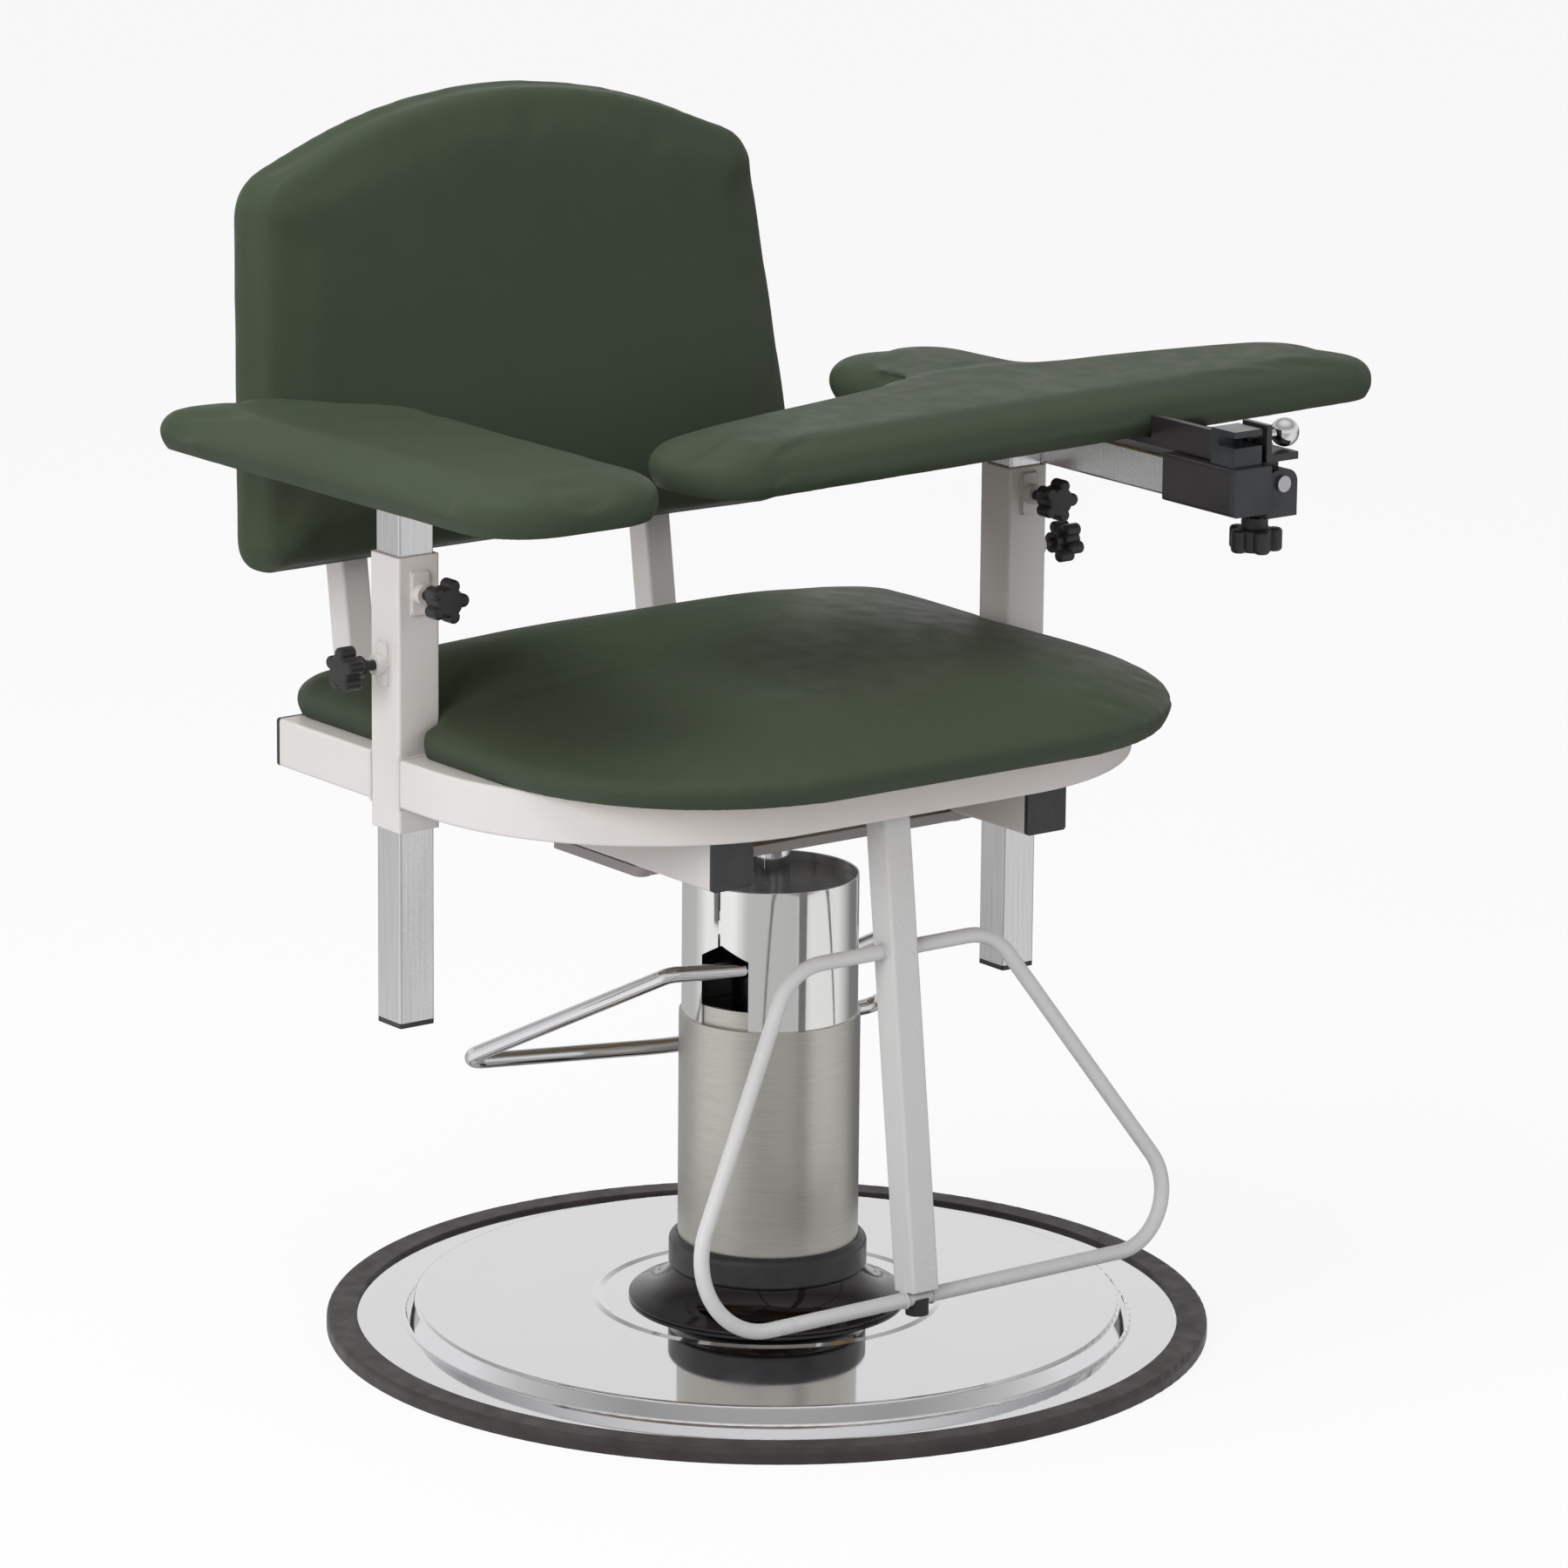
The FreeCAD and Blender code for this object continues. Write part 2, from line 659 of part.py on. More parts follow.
def make_beams():
    pieces = {}
    caps = []
    for name, side in (("left_beam", -1), ("right_beam", 1)):
        front = V(side * beam_x, beam_front_y, beam_mid_z)
        rear = V(side * beam_x, beam_rear_y, beam_mid_z)
        tube = straight_tube(front, rear, V(1, 0, 0), big_tube, beam_height, big_corner, big_wall,
                             closed_end=big_wall)
        for at in mount_bolt_places():
            tube = tube.cut(bar(mount_bolt_radius + run_gap, at, at + V(0, 0, beam_mid_z)))
        pieces[name] = tube
        caps.append(tube_cap(front, V(0, -1, 0), V(1, 0, 0), big_tube, beam_height, big_corner, big_wall))
        end = V(side * post_x, rail_rear_y, frame_mid_z)
        caps.append(tube_cap(end, V(0, 1, 0), V(1, 0, 0), big_tube, big_tube, big_corner, big_wall))
    pieces["tube_caps"] = group(caps)
    return pieces


def make_frame():
    """The bent front of the seat frame, the rear rails behind the posts and a cross tube."""
    left = V(-post_x, post_face_y, frame_mid_z)
    right = V(post_x, post_face_y, frame_mid_z)
    left_corner = V(-post_x, frame_front_mid_y, frame_mid_z)
    right_corner = V(post_x, frame_front_mid_y, frame_mid_z)
    bend = bent_tube([left, left_corner, right_corner, right], [0, frame_bend, frame_bend, 0],
                     V(0, 0, 1), big_tube, big_corner, big_wall)
    pieces = {"seat_frame": bend}
    for name, side in (("left_rear_rail", -1), ("right_rear_rail", 1)):
        start = V(side * post_x, post_back_y, frame_mid_z)
        end = V(side * post_x, rail_rear_y, frame_mid_z)
        pieces[name] = straight_tube(start, end, V(1, 0, 0), big_tube, big_tube, big_corner, big_wall)
    inner = post_x - big_tube / 2
    cross_y = rail_rear_y - cross_rear_gap
    start = V(-inner, cross_y, frame_mid_z)
    end = V(inner, cross_y, frame_mid_z)
    pieces["rear_cross_tube"] = straight_tube(start, end, V(0, 1, 0), small_tube, big_tube,
                                              big_corner, big_wall)
    return pieces


def knob_places():
    """Name, point on the post's face, outward direction."""
    side_x = post_x + big_tube / 2
    return [("left_front_knob", V(-post_x, post_face_y, left_front_knob_z), V(0, -1, 0)),
            ("left_side_knob", V(-side_x, post_y, left_side_knob_z), V(-1, 0, 0)),
            ("right_front_knob", V(post_x, post_face_y, right_front_knob_z), V(0, -1, 0)),
            ("right_side_knob", V(side_x, post_y, right_side_knob_z), V(1, 0, 0))]


def lobed_knob(at, outward, scale):
    """A star knob: hub and neck with rounded lobes, its back at the given point."""
    base = V(0, 0, 0)
    neck = Part.makeCylinder(knob_neck_radius * scale, knob_neck * scale + knob_thick * scale / 2, base)
    hub = Part.makeCylinder(knob_hub_radius * scale, knob_thick * scale, V(0, 0, knob_neck * scale))
    hub = hub.makeFillet(knob_round * scale, hub.Edges)
    head = neck.fuse(hub)
    for i in range(knob_lobes):
        angle = math.radians(full_turn * i / knob_lobes)
        centre = V(math.cos(angle), math.sin(angle), 0) * (knob_lobe_circle * scale)
        lobe = Part.makeCylinder(knob_lobe_radius * scale, knob_thick * scale,
                                 centre + V(0, 0, knob_neck * scale))
        head = head.fuse(lobe.makeFillet(knob_round * scale, lobe.Edges))
    turn = FreeCAD.Rotation(V(0, 0, 1), outward)
    head.Placement = FreeCAD.Placement(at, turn)
    return head.removeSplitter()


def make_posts_and_knobs():
    wall = (big_tube - small_tube) / 2 - slide_gap
    pieces = {}
    for name, side in (("left_post", -1), ("right_post", 1)):
        foot = V(side * post_x, post_y, post_bottom_z)
        top = V(side * post_x, post_y, post_top_z)
        pieces[name] = straight_tube(foot, top, V(1, 0, 0), big_tube, big_tube, big_corner, wall)
    bosses = []
    for name, face_point, outward in knob_places():
        side_name = "left_post" if name.startswith("left") else "right_post"
        across = outward.cross(V(0, 0, 1))
        plate = Part.Face(square_wire(boss_plate_width, boss_plate_height, boss_plate, face_point,
                                      across, V(0, 0, 1))).extrude(outward * boss_plate)
        boss = plate.fuse(bar(boss_radius, face_point, face_point + outward * boss_height)).removeSplitter()
        tip = face_point - outward * wall
        bore = bar(stud_radius + run_gap, tip - outward * slide_gap,
                   face_point + outward * (boss_height + overrun))
        bosses.append(boss.cut(bore))
        pieces[side_name] = pieces[side_name].cut(bore)
        knob_back = face_point + outward * (boss_height + knob_stand)
        stud = bar(stud_radius, tip, knob_back + outward * knob_neck)
        pieces[name] = lobed_knob(knob_back, outward, 1.0).fuse(stud).removeSplitter()
    pieces["knob_bosses"] = group(bosses)
    return pieces


def seat_outline():
    corners = [V(-seat_half, seat_front_y, 0), V(seat_half, seat_front_y, 0),
               V(seat_half, seat_rear_y, 0), V(-seat_half, seat_rear_y, 0)]
    return corners, [seat_front_round, seat_front_round, seat_rear_round, seat_rear_round]


seat_level_shares = [(0.0, 0.25), (0.11, 0.06), (0.24, 0.0), (0.32, 0.05), (0.38, 0.2), (0.45, 0.5),
                     (0.52, 0.93), (0.6, 1.47), (0.68, 2.07), (0.77, 2.87), (0.86, 3.7), (0.93, 4.5),
                     (1.0, 5.4)]
pad_level_shares = [(0.0, 0.45), (0.1, 0.2), (0.25, 0.04), (0.42, 0.0), (0.58, 0.08), (0.72, 0.28),
                    (0.84, 0.6), (0.93, 1.05), (1.0, 1.9)]
back_level_shares = [(0.0, 0.25), (0.08, 0.08), (0.18, 0.0), (0.7, 0.0), (0.8, 0.06), (0.87, 0.2),
                     (0.93, 0.45), (0.97, 0.85), (1.0, 1.6)]
seat_soft = 30.0          # inset scale of the seat's rolled edge
pad_soft = 10.0
back_soft = 22.0


def make_seat():
    corners, rounds = seat_outline()
    base = frame_top_z + seat_gap
    levels = crowned_levels(seat_thick, seat_soft, seat_level_shares, base)
    board, cover = board_and_cover(corners, rounds, levels, board_thick, board_rim, base,
                                   seat_crown_round, seat_crown_slide)
    reach = big_tube / 2 + notch_gap
    for side in (-1, 1):
        inner = post_x - big_tube / 2 - notch_depth
        x0, x1 = sorted((side * inner, side * (seat_half + overrun)))
        notch = box(x0, x1, post_y - reach, post_y + reach, base - overrun, base + 2 * seat_thick)
        cover = cover.cut(notch)
        x0, x1 = sorted((side * (inner - seat_gap), side * (seat_half + overrun)))
        board = board.cut(box(x0, x1, post_y - reach, post_y + reach, base - overrun, base + seat_thick))
    return {"seat_board": board, "seat_cushion": cover}


def back_outline():
    corners = [V(-back_half_low, 0, 0), V(back_half_low, 0, 0), V(back_half_high, back_shoulder, 0),
               V(0, back_peak, 0), V(-back_half_high, back_shoulder, 0)]
    rounds = [back_low_round, back_low_round, back_shoulder_round, back_arch_round, back_shoulder_round]
    return corners, rounds


def on_back(shape):
    """Carries a shape drawn flat, front side up, to the leaning back."""
    return placed(shape, V(0, back_rear_y, back_bottom_z), V(1, 0, 0), right_angle - back_lean)


def make_back():
    corners, rounds = back_outline()
    levels = crowned_levels(back_thick, back_soft, back_level_shares, 0)
    board, cover = board_and_cover(corners, rounds, levels, board_thick, board_rim, 0)
    pieces = {"back_board": on_back(board), "back_cushion": on_back(cover)}
    lean = math.radians(back_lean)
    rise = V(0, math.sin(lean), math.cos(lean))
    rearward = V(0, math.cos(lean), -math.sin(lean))
    foot = V(0, back_rear_y, back_bottom_z) + rearward * (light_tube / 2 + seat_gap)
    drop = (foot.z - beam_mid_z) / rise.z
    corner = foot - rise * drop
    top = foot + rise * upright_top
    for name, side in (("left_upright", -1), ("right_upright", 1)):
        shift = V(side * upright_x, 0, 0)
        start = V(0, beam_rear_y, beam_mid_z)
        pieces[name] = bent_tube([start + shift, corner + shift, top + shift], [0, upright_bend, 0],
                                 V(1, 0, 0), light_tube, light_corner, light_wall)
    screws = []
    for side in (-1, 1):
        for share in (1 / 4, 7 / 8):
            at = foot + rise * (upright_top * share) + V(side * upright_x, 0, 0)
            head_at = at + rearward * (light_tube / 2)
            head = bar(board_screw_head_radius, head_at, head_at + rearward * board_screw_head)
            tip = at - rearward * (light_tube / 2 + board_screw_reach)
            screw = bar(board_screw_radius, tip, head_at).fuse(head).removeSplitter()
            hole = bar(board_screw_radius + run_gap, tip, head_at + rearward * overrun)
            screws.append(screw)
            name = "left_upright" if side < 0 else "right_upright"
            pieces[name] = pieces[name].cut(hole)
            pieces["back_board"] = pieces["back_board"].cut(hole)
    pieces["back_screws"] = group(screws)
    return pieces


def make_footrest():
    """A leaning post under the seat frame, with a bent rod loop through it."""
    lean = math.radians(rest_lean)
    down = V(0, -math.sin(lean), -math.cos(lean))
    side = V(1, 0, 0)
    top = V(0, rest_top_y, frame_bottom_z)
    low = top + down * ((frame_bottom_z - rest_low_z) / math.cos(lean))
    high = top + down * ((frame_bottom_z - rest_top_z) / math.cos(lean))
    shift = side * rest_post_x
    end = low - down * (rest_rod / 2 + seat_gap)
    post = straight_tube(top + shift - down * light_tube, end + shift, side, light_tube, light_tube,
                         light_corner, light_wall)
    post = post.cut(box(rest_post_x - light_tube, rest_post_x + light_tube, rest_top_y - 2 * light_tube,
                        rest_top_y + 2 * light_tube, frame_bottom_z, frame_bottom_z + 2 * light_tube))
    start = high + shift
    corners = [start, high + side * rest_top_right, low + side * rest_low_right, low + side * rest_low_left,
               high + side * rest_top_left, start]
    bends = [0, rest_top_bend, rest_right_bend, rest_left_bend, rest_top_bend, 0]
    path = rounded_wire(corners, bends, closed=False)
    section = Part.Wire([Part.Circle(start, side, rest_rod / 2).toShape()])
    loop = swept(path, section)
    reach = side * light_tube
    post = post.cut(bar(rest_rod / 2 + run_gap, start - reach, start + reach))
    bumper_top = low + shift
    bumper = bar(bumper_radius, bumper_top - V(0, 0, rest_rod / 2 + bumper_drop), bumper_top)
    bumper = bumper.cut(bar(rest_rod / 2 + run_gap, bumper_top - reach, bumper_top + reach))
    return {"footrest_post": post, "footrest_loop": loop, "footrest_bumper": bumper}


def make_left_arm():
    foot = V(-post_x, post_y, left_tube_bottom_z)
    top = V(-post_x, post_y, left_plate_z)
    tube = straight_tube(foot, top, V(1, 0, 0), small_tube, small_tube, small_corner, small_wall)
    cap = tube_cap(foot, V(0, 0, -1), V(1, 0, 0), small_tube, small_tube, small_corner, small_wall)
    outer = -post_x - left_pad_out
    inner = -post_x + left_pad_in
    plate_x = (-post_x + (outer + inner) / 2) / 2
    corners = [V(plate_x - arm_plate_half_x, post_y - arm_plate_half_y, 0),
               V(plate_x + arm_plate_half_x, post_y - arm_plate_half_y, 0),
               V(plate_x + arm_plate_half_x, post_y + arm_plate_half_y, 0),
               V(plate_x - arm_plate_half_x, post_y + arm_plate_half_y, 0)]
    plate = slab(corners, [leaf_round] * 4, left_plate_z, left_plate_z + arm_plate)
    outline = [V(outer + left_pad_taper, left_pad_front_y, 0), V(inner, left_pad_front_y, 0),
               V(inner, left_pad_bevel_y, 0), V(-post_x + left_pad_bevel_in, left_pad_rear_y, 0),
               V(outer, left_pad_rear_y, 0)]
    base = left_plate_z + arm_plate
    levels = crowned_levels(pad_thick, pad_soft, pad_level_shares, base + seat_gap)
    rounds = [left_pad_front_round, left_pad_front_round, left_pad_bevel_round, left_pad_heel_round,
              left_pad_rear_round]
    board, cover = board_and_cover(outline, rounds, levels, pad_board, pad_rim, base)
    return {"left_arm_tube": tube, "left_arm_cap": cap, "left_arm_plate": plate,
            "left_pad_board": board, "left_pad_cushion": cover}


def make_right_arm():
    foot = V(post_x, post_y, right_tube_bottom_z)
    top = V(post_x, post_y, right_tube_top_z)
    tube = straight_tube(foot, top, V(1, 0, 0), small_tube, small_tube, small_corner, small_wall)
    caps = [tube_cap(foot, V(0, 0, -1), V(1, 0, 0), small_tube, small_tube, small_corner, small_wall)]
    rail = straight_tube(V(rail_x, rail_rear_end_y, rail_mid_z), V(rail_x, rail_front_y, rail_mid_z),
                         V(1, 0, 0), small_tube, small_tube, small_corner, small_wall)
    caps.append(tube_cap(V(rail_x, rail_rear_end_y, rail_mid_z), V(0, 1, 0), V(1, 0, 0), small_tube,
                         small_tube, small_corner, small_wall))
    return {"right_arm_tube": tube, "right_arm_caps": group(caps), "right_arm_rail": rail}


def make_sleeve():
    wall = (big_tube - small_tube) / 2 - slide_gap
    front = V(rail_x, sleeve_front_y, rail_mid_z)
    rear = V(rail_x, sleeve_rear_y, rail_mid_z)
    sleeve = straight_tube(front, rear, V(1, 0, 0), big_tube, big_tube, big_corner, wall)
    cap = tube_cap(front, V(0, -1, 0), V(1, 0, 0), big_tube, big_tube, big_corner, wall)
    left = sleeve_right + seat_gap
    right = left + clevis_width
    clevis = box(left, right, sleeve_front_y, sleeve_rear_y, clevis_bottom_z, clevis_web_z)
    for y0 in (sleeve_front_y, sleeve_rear_y - ear_thick):
        corners = [V(left, y0, clevis_bottom_z), V(right, y0, clevis_bottom_z),
                   V(right, y0, hinge_z + ear_round), V(left, y0, hinge_z + ear_round)]
        ear = Part.Face(rounded_wire(corners, [0, 0, ear_round, ear_round])).extrude(V(0, ear_thick, 0))
        clevis = clevis.fuse(ear)
    clevis = clevis.removeSplitter()
    pin_front = V(hinge_x, sleeve_front_y - pin_head, hinge_z)
    pin_rear = V(hinge_x, sleeve_rear_y, hinge_z)
    clevis = clevis.cut(bar(pin_radius + run_gap, pin_front, pin_rear + V(0, overrun, 0)))
    pin = bar(pin_radius, V(hinge_x, sleeve_front_y, hinge_z), pin_rear)
    pin = pin.fuse(bar(pin_head_radius, pin_front, V(hinge_x, sleeve_front_y, hinge_z))).removeSplitter()
    lock = box(lock_left, lock_right, sleeve_front_y, sleeve_front_y + lock_length,
               sleeve_top_z, sleeve_top_z + lock_rise)
    slot_half = pin_bolt_radius + lock_slot_gap
    lock = lock.cut(box(lock_left - overrun, lock_right + overrun, sleeve_front_y - overrun,
                        plunger_y + pin_bolt_radius + lock_slot_overrun,
                        plunger_z - slot_half, plunger_z + slot_half))
    knob_at = V(hinge_x - wheel_in, sleeve_front_y + wheel_y_offset, clevis_bottom_z)
    knob_back = knob_at - V(0, 0, wheel_drop)
    stud_top = knob_at + V(0, 0, clevis_web_z - clevis_bottom_z - wheel_drop)
    knob = lobed_knob(knob_back, V(0, 0, -1), wheel_round_share).fuse(bar(stud_radius, knob_back, stud_top))
    clevis = clevis.cut(bar(stud_radius + run_gap, knob_back, stud_top + V(0, 0, slide_gap)))
    return {"arm_sleeve": sleeve, "sleeve_cap": cap, "hinge_brackets": group([clevis, lock]),
            "hinge_pin": pin, "sleeve_knob": knob.removeSplitter()}


def make_right_pad():
    turn = FreeCAD.Rotation(V(0, 0, 1), right_pad_yaw)
    centre = V(right_pad_x, right_pad_y, 0)
    outline = [centre + turn.multVec(V(x, y, 0) * right_pad_half) for x, y in right_pad_corner_shares]
    rounds = [share * right_pad_half for share in right_pad_round_shares]
    levels = crowned_levels(pad_thick, pad_soft, pad_level_shares, right_pad_z + seat_gap)
    board, cover = board_and_cover(outline, rounds, levels, pad_board, pad_rim, right_pad_z)
    corners = [V(leaf_left, leaf_front_y, 0), V(leaf_right, leaf_front_y, 0),
               V(leaf_right, leaf_rear_y, 0), V(leaf_left, leaf_rear_y, 0)]
    leaf = slab(corners, [leaf_round / 4, leaf_round, leaf_round, leaf_round], leaf_bottom_z, right_pad_z)
    leaf = leaf.fuse(box(leaf_left, leaf_left + flange_thick, leaf_front_y, flange_rear_y,
                         leaf_bottom_z, right_pad_z + flange_rise))
    knuckle_from = sleeve_front_y + ear_thick + slide_gap
    knuckle_to = sleeve_rear_y - ear_thick - slide_gap
    knuckle = bar(knuckle_radius, V(hinge_x, knuckle_from, hinge_z), V(hinge_x, knuckle_to, hinge_z))
    web = box(hinge_x - web_thick / 2, hinge_x + web_thick / 2, knuckle_from, knuckle_to,
              hinge_z, leaf_bottom_z)
    tongue = box(lug_left, hinge_x + web_thick, sleeve_front_y, leaf_front_y, leaf_bottom_z, right_pad_z)
    lug = box(lug_left, lug_left + lug_thick, sleeve_front_y, sleeve_front_y + lug_length,
              leaf_bottom_z, right_pad_z + lug_rise)
    leaf = leaf.fuse([knuckle, web, tongue, lug]).removeSplitter()
    leaf = leaf.cut(bar(pin_radius + run_gap, V(hinge_x, knuckle_from - overrun, hinge_z),
                        V(hinge_x, knuckle_to + overrun, hinge_z)))
    lug_face = V(lug_left + lug_thick, plunger_y, plunger_z)
    stub_end = lug_face + V(collar_stub, 0, 0)
    bore_from = V(lug_left - overrun, plunger_y, plunger_z)
    leaf = leaf.fuse(bar(collar_stub_radius, lug_face, stub_end)).removeSplitter()
    leaf = leaf.cut(bar(pin_bolt_radius + run_gap, bore_from, stub_end + V(overrun, 0, 0)))
    ball_centre = stub_end + V(plunger_travel + seat_gap + ball_radius, 0, 0)
    ball = Part.makeSphere(ball_radius, ball_centre)
    bolt_end = ball_centre - V(ball_radius / 3, 0, 0)
    bolt = bar(pin_bolt_radius, V(lock_right + seat_gap, plunger_y, plunger_z), bolt_end)
    ball = ball.cut(bar(pin_bolt_radius + run_gap, stub_end, bolt_end))
    return {"right_pad_board": board, "right_pad_cushion": cover, "hinge_leaf": leaf,
            "plunger_pin": bolt, "ball_knob": ball}


def build():
    pieces = {}
    for maker in (make_base, make_column, make_pump, make_piston, make_mount, make_beams, make_frame,
                  make_posts_and_knobs, make_seat, make_back, make_footrest, make_left_arm,
                  make_right_arm, make_sleeve, make_right_pad):
        pieces.update(maker())
    return pieces


os.makedirs("parts", exist_ok=True)
for node, shape in build().items():
    solids = shape.Solids
    print(node, len(solids), "valid" if shape.isValid() else "INVALID",
          [round(v, 1) for v in (shape.BoundBox.XMin, shape.BoundBox.XMax, shape.BoundBox.YMin,
                                 shape.BoundBox.YMax, shape.BoundBox.ZMin, shape.BoundBox.ZMax)],
          round(sum(s.Volume for s in solids)))
    (solids[0] if len(solids) == 1 else shape).exportStep("parts/" + node + ".step")
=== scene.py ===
import json
import math

import bmesh
import bpy
from mathutils import Matrix, Vector

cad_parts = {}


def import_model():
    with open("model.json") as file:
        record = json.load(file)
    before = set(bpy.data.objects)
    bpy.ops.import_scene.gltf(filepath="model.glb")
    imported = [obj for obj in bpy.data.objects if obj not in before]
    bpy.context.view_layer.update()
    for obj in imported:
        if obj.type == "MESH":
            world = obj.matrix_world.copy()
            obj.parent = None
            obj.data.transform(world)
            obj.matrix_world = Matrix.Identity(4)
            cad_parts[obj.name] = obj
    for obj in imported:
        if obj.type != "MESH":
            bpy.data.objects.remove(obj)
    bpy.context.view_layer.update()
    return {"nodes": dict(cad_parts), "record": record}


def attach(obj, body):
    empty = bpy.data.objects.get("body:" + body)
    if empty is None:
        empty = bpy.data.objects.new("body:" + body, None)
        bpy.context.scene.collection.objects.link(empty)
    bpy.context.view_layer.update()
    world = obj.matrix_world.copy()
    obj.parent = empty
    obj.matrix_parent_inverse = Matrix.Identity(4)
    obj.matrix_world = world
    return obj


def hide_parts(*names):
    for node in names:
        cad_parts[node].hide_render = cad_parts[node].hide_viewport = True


# Looks of a phlebotomy chair, in metres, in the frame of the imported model:
# the column stands on the origin, +Z is up and the sitter faces -Y.

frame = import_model()
nodes = frame["nodes"]

# The photograph's camera
camera_place = Vector((-3.54136, -4.68599, 1.90226))
camera_right = Vector((0.79814421, -0.60239759, 0.00910864))
camera_up = Vector((0.13844268, 0.19810146, 0.97035532))
camera_lens = 177.94
camera_sensor = 36.0
camera_reach = 100

# Sizes shared with the part
back_lean = math.radians(8.0)
back_foot = Vector((0, 0.3572, 0.575))
post_x = 0.2962
post_y = 0.0727
tube_half = 0.01905
small_half = 0.015875
light_half = 0.0127
seat_base = 0.4934
seat_thick = 0.065
back_thick = 0.062
pad_thick = 0.038
left_pad_base = 0.6973
right_pad_base = 0.6923
board_thick = 0.012
board_rim = 0.013
pad_rim = 0.009


def linear(red, green, blue):
    """Display values from 0 to 255 as scene-linear colour."""
    out = []
    for value in (red, green, blue):
        share = value / 255
        out.append(share / 12.92 if share <= 0.04045 else ((share + 0.055) / 1.055) ** 2.4)
    return (*out, 1.0)


def scaled(colour, factor, lift=0.0):
    """A colour made lighter or darker, and opaque."""
    return tuple(min(1, c * factor + lift) for c in colour[:3]) + (1.0,)


# Shader nodes

# Places of the colour sockets on a Mix node: two that go in and one that comes out
mix_first, mix_second, mix_result = 6, 7, 2


def node_in(tree, kind, **settings):
    """A new node; a setting goes to the input of that name, or else to the node itself."""
    node = tree.nodes.new(kind)
    for key, value in settings.items():
        if key in node.inputs:
            node.inputs[key].default_value = value
        else:
            setattr(node, key, value)
    return node


def add_node(mat, kind, **settings):
    return node_in(mat.node_tree, kind, **settings)


def link(mat, output, target):
    mat.node_tree.links.new(output, target)


def blank_material(name, colour, roughness, metallic=0.0):
    mat = bpy.data.materials.new(name)
    mat.use_nodes = True
    shader = mat.node_tree.nodes["Principled BSDF"]
    shader.inputs["Base Color"].default_value = colour
    shader.inputs["Roughness"].default_value = roughness
    shader.inputs["Metallic"].default_value = metallic
    return mat, shader


def coordinates(mat, stretch=(1, 1, 1)):
    """The piece's own coordinates, stretched along its axes."""
    place = add_node(mat, "ShaderNodeTexCoord")
    mapping = add_node(mat, "ShaderNodeMapping")
    mapping.inputs["Scale"].default_value = stretch
    link(mat, place.outputs["Object"], mapping.inputs["Vector"])
    return mapping.outputs["Vector"]


def noise(mat, scale, detail, stretch=(1, 1, 1)):
    texture = add_node(mat, "ShaderNodeTexNoise", Scale=scale, Detail=detail, Roughness=0.5)
    link(mat, coordinates(mat, stretch), texture.inputs["Vector"])
    return texture.outputs["Fac"]


def spread(mat, value, low, high, from_low=0.3, from_high=0.7):
    """Maps a texture's middle range to low..high."""
    mapped = add_node(mat, "ShaderNodeMapRange")
    mapped.inputs["From Min"].default_value = from_low
    mapped.inputs["From Max"].default_value = from_high
    mapped.inputs["To Min"].default_value = low
    mapped.inputs["To Max"].default_value = high
    link(mat, value, mapped.inputs["Value"])
    return mapped.outputs["Result"]


def tint(mat, shader, factor, first, second):
    """Base colour mixed between two colours by a factor."""
    mix = add_node(mat, "ShaderNodeMix", data_type="RGBA")
    mix.inputs[mix_first].default_value = first
    mix.inputs[mix_second].default_value = second
    link(mat, factor, mix.inputs[0])
    link(mat, mix.outputs[mix_result], shader.inputs["Base Color"])
    return mix


def bump(mat, shader, height, strength, distance, below=None):
    """Bump from a height, over another node's normal where one is given."""
    node = add_node(mat, "ShaderNodeBump", Strength=strength, Distance=distance)
    link(mat, height, node.inputs["Height"])
    if below is not None:
        link(mat, below.outputs["Normal"], node.inputs["Normal"])
    link(mat, node.outputs["Normal"], shader.inputs["Normal"])
    return node


def vary_roughness(mat, shader, value, low, high):
    link(mat, spread(mat, value, low, high), shader.inputs["Roughness"])


def edge_share(mat):
    """Near 1 on the convex edges of a dense mesh."""
    place = add_node(mat, "ShaderNodeNewGeometry")
    return spread(mat, place.outputs["Pointiness"], low=0.0, high=1.0, from_low=0.52, from_high=0.6)


def soft_edge(mat, radius):
    """Sharp edges catch the light as if they were slightly rounded."""
    return add_node(mat, "ShaderNodeBevel", Radius=radius, samples=4)


# Materials

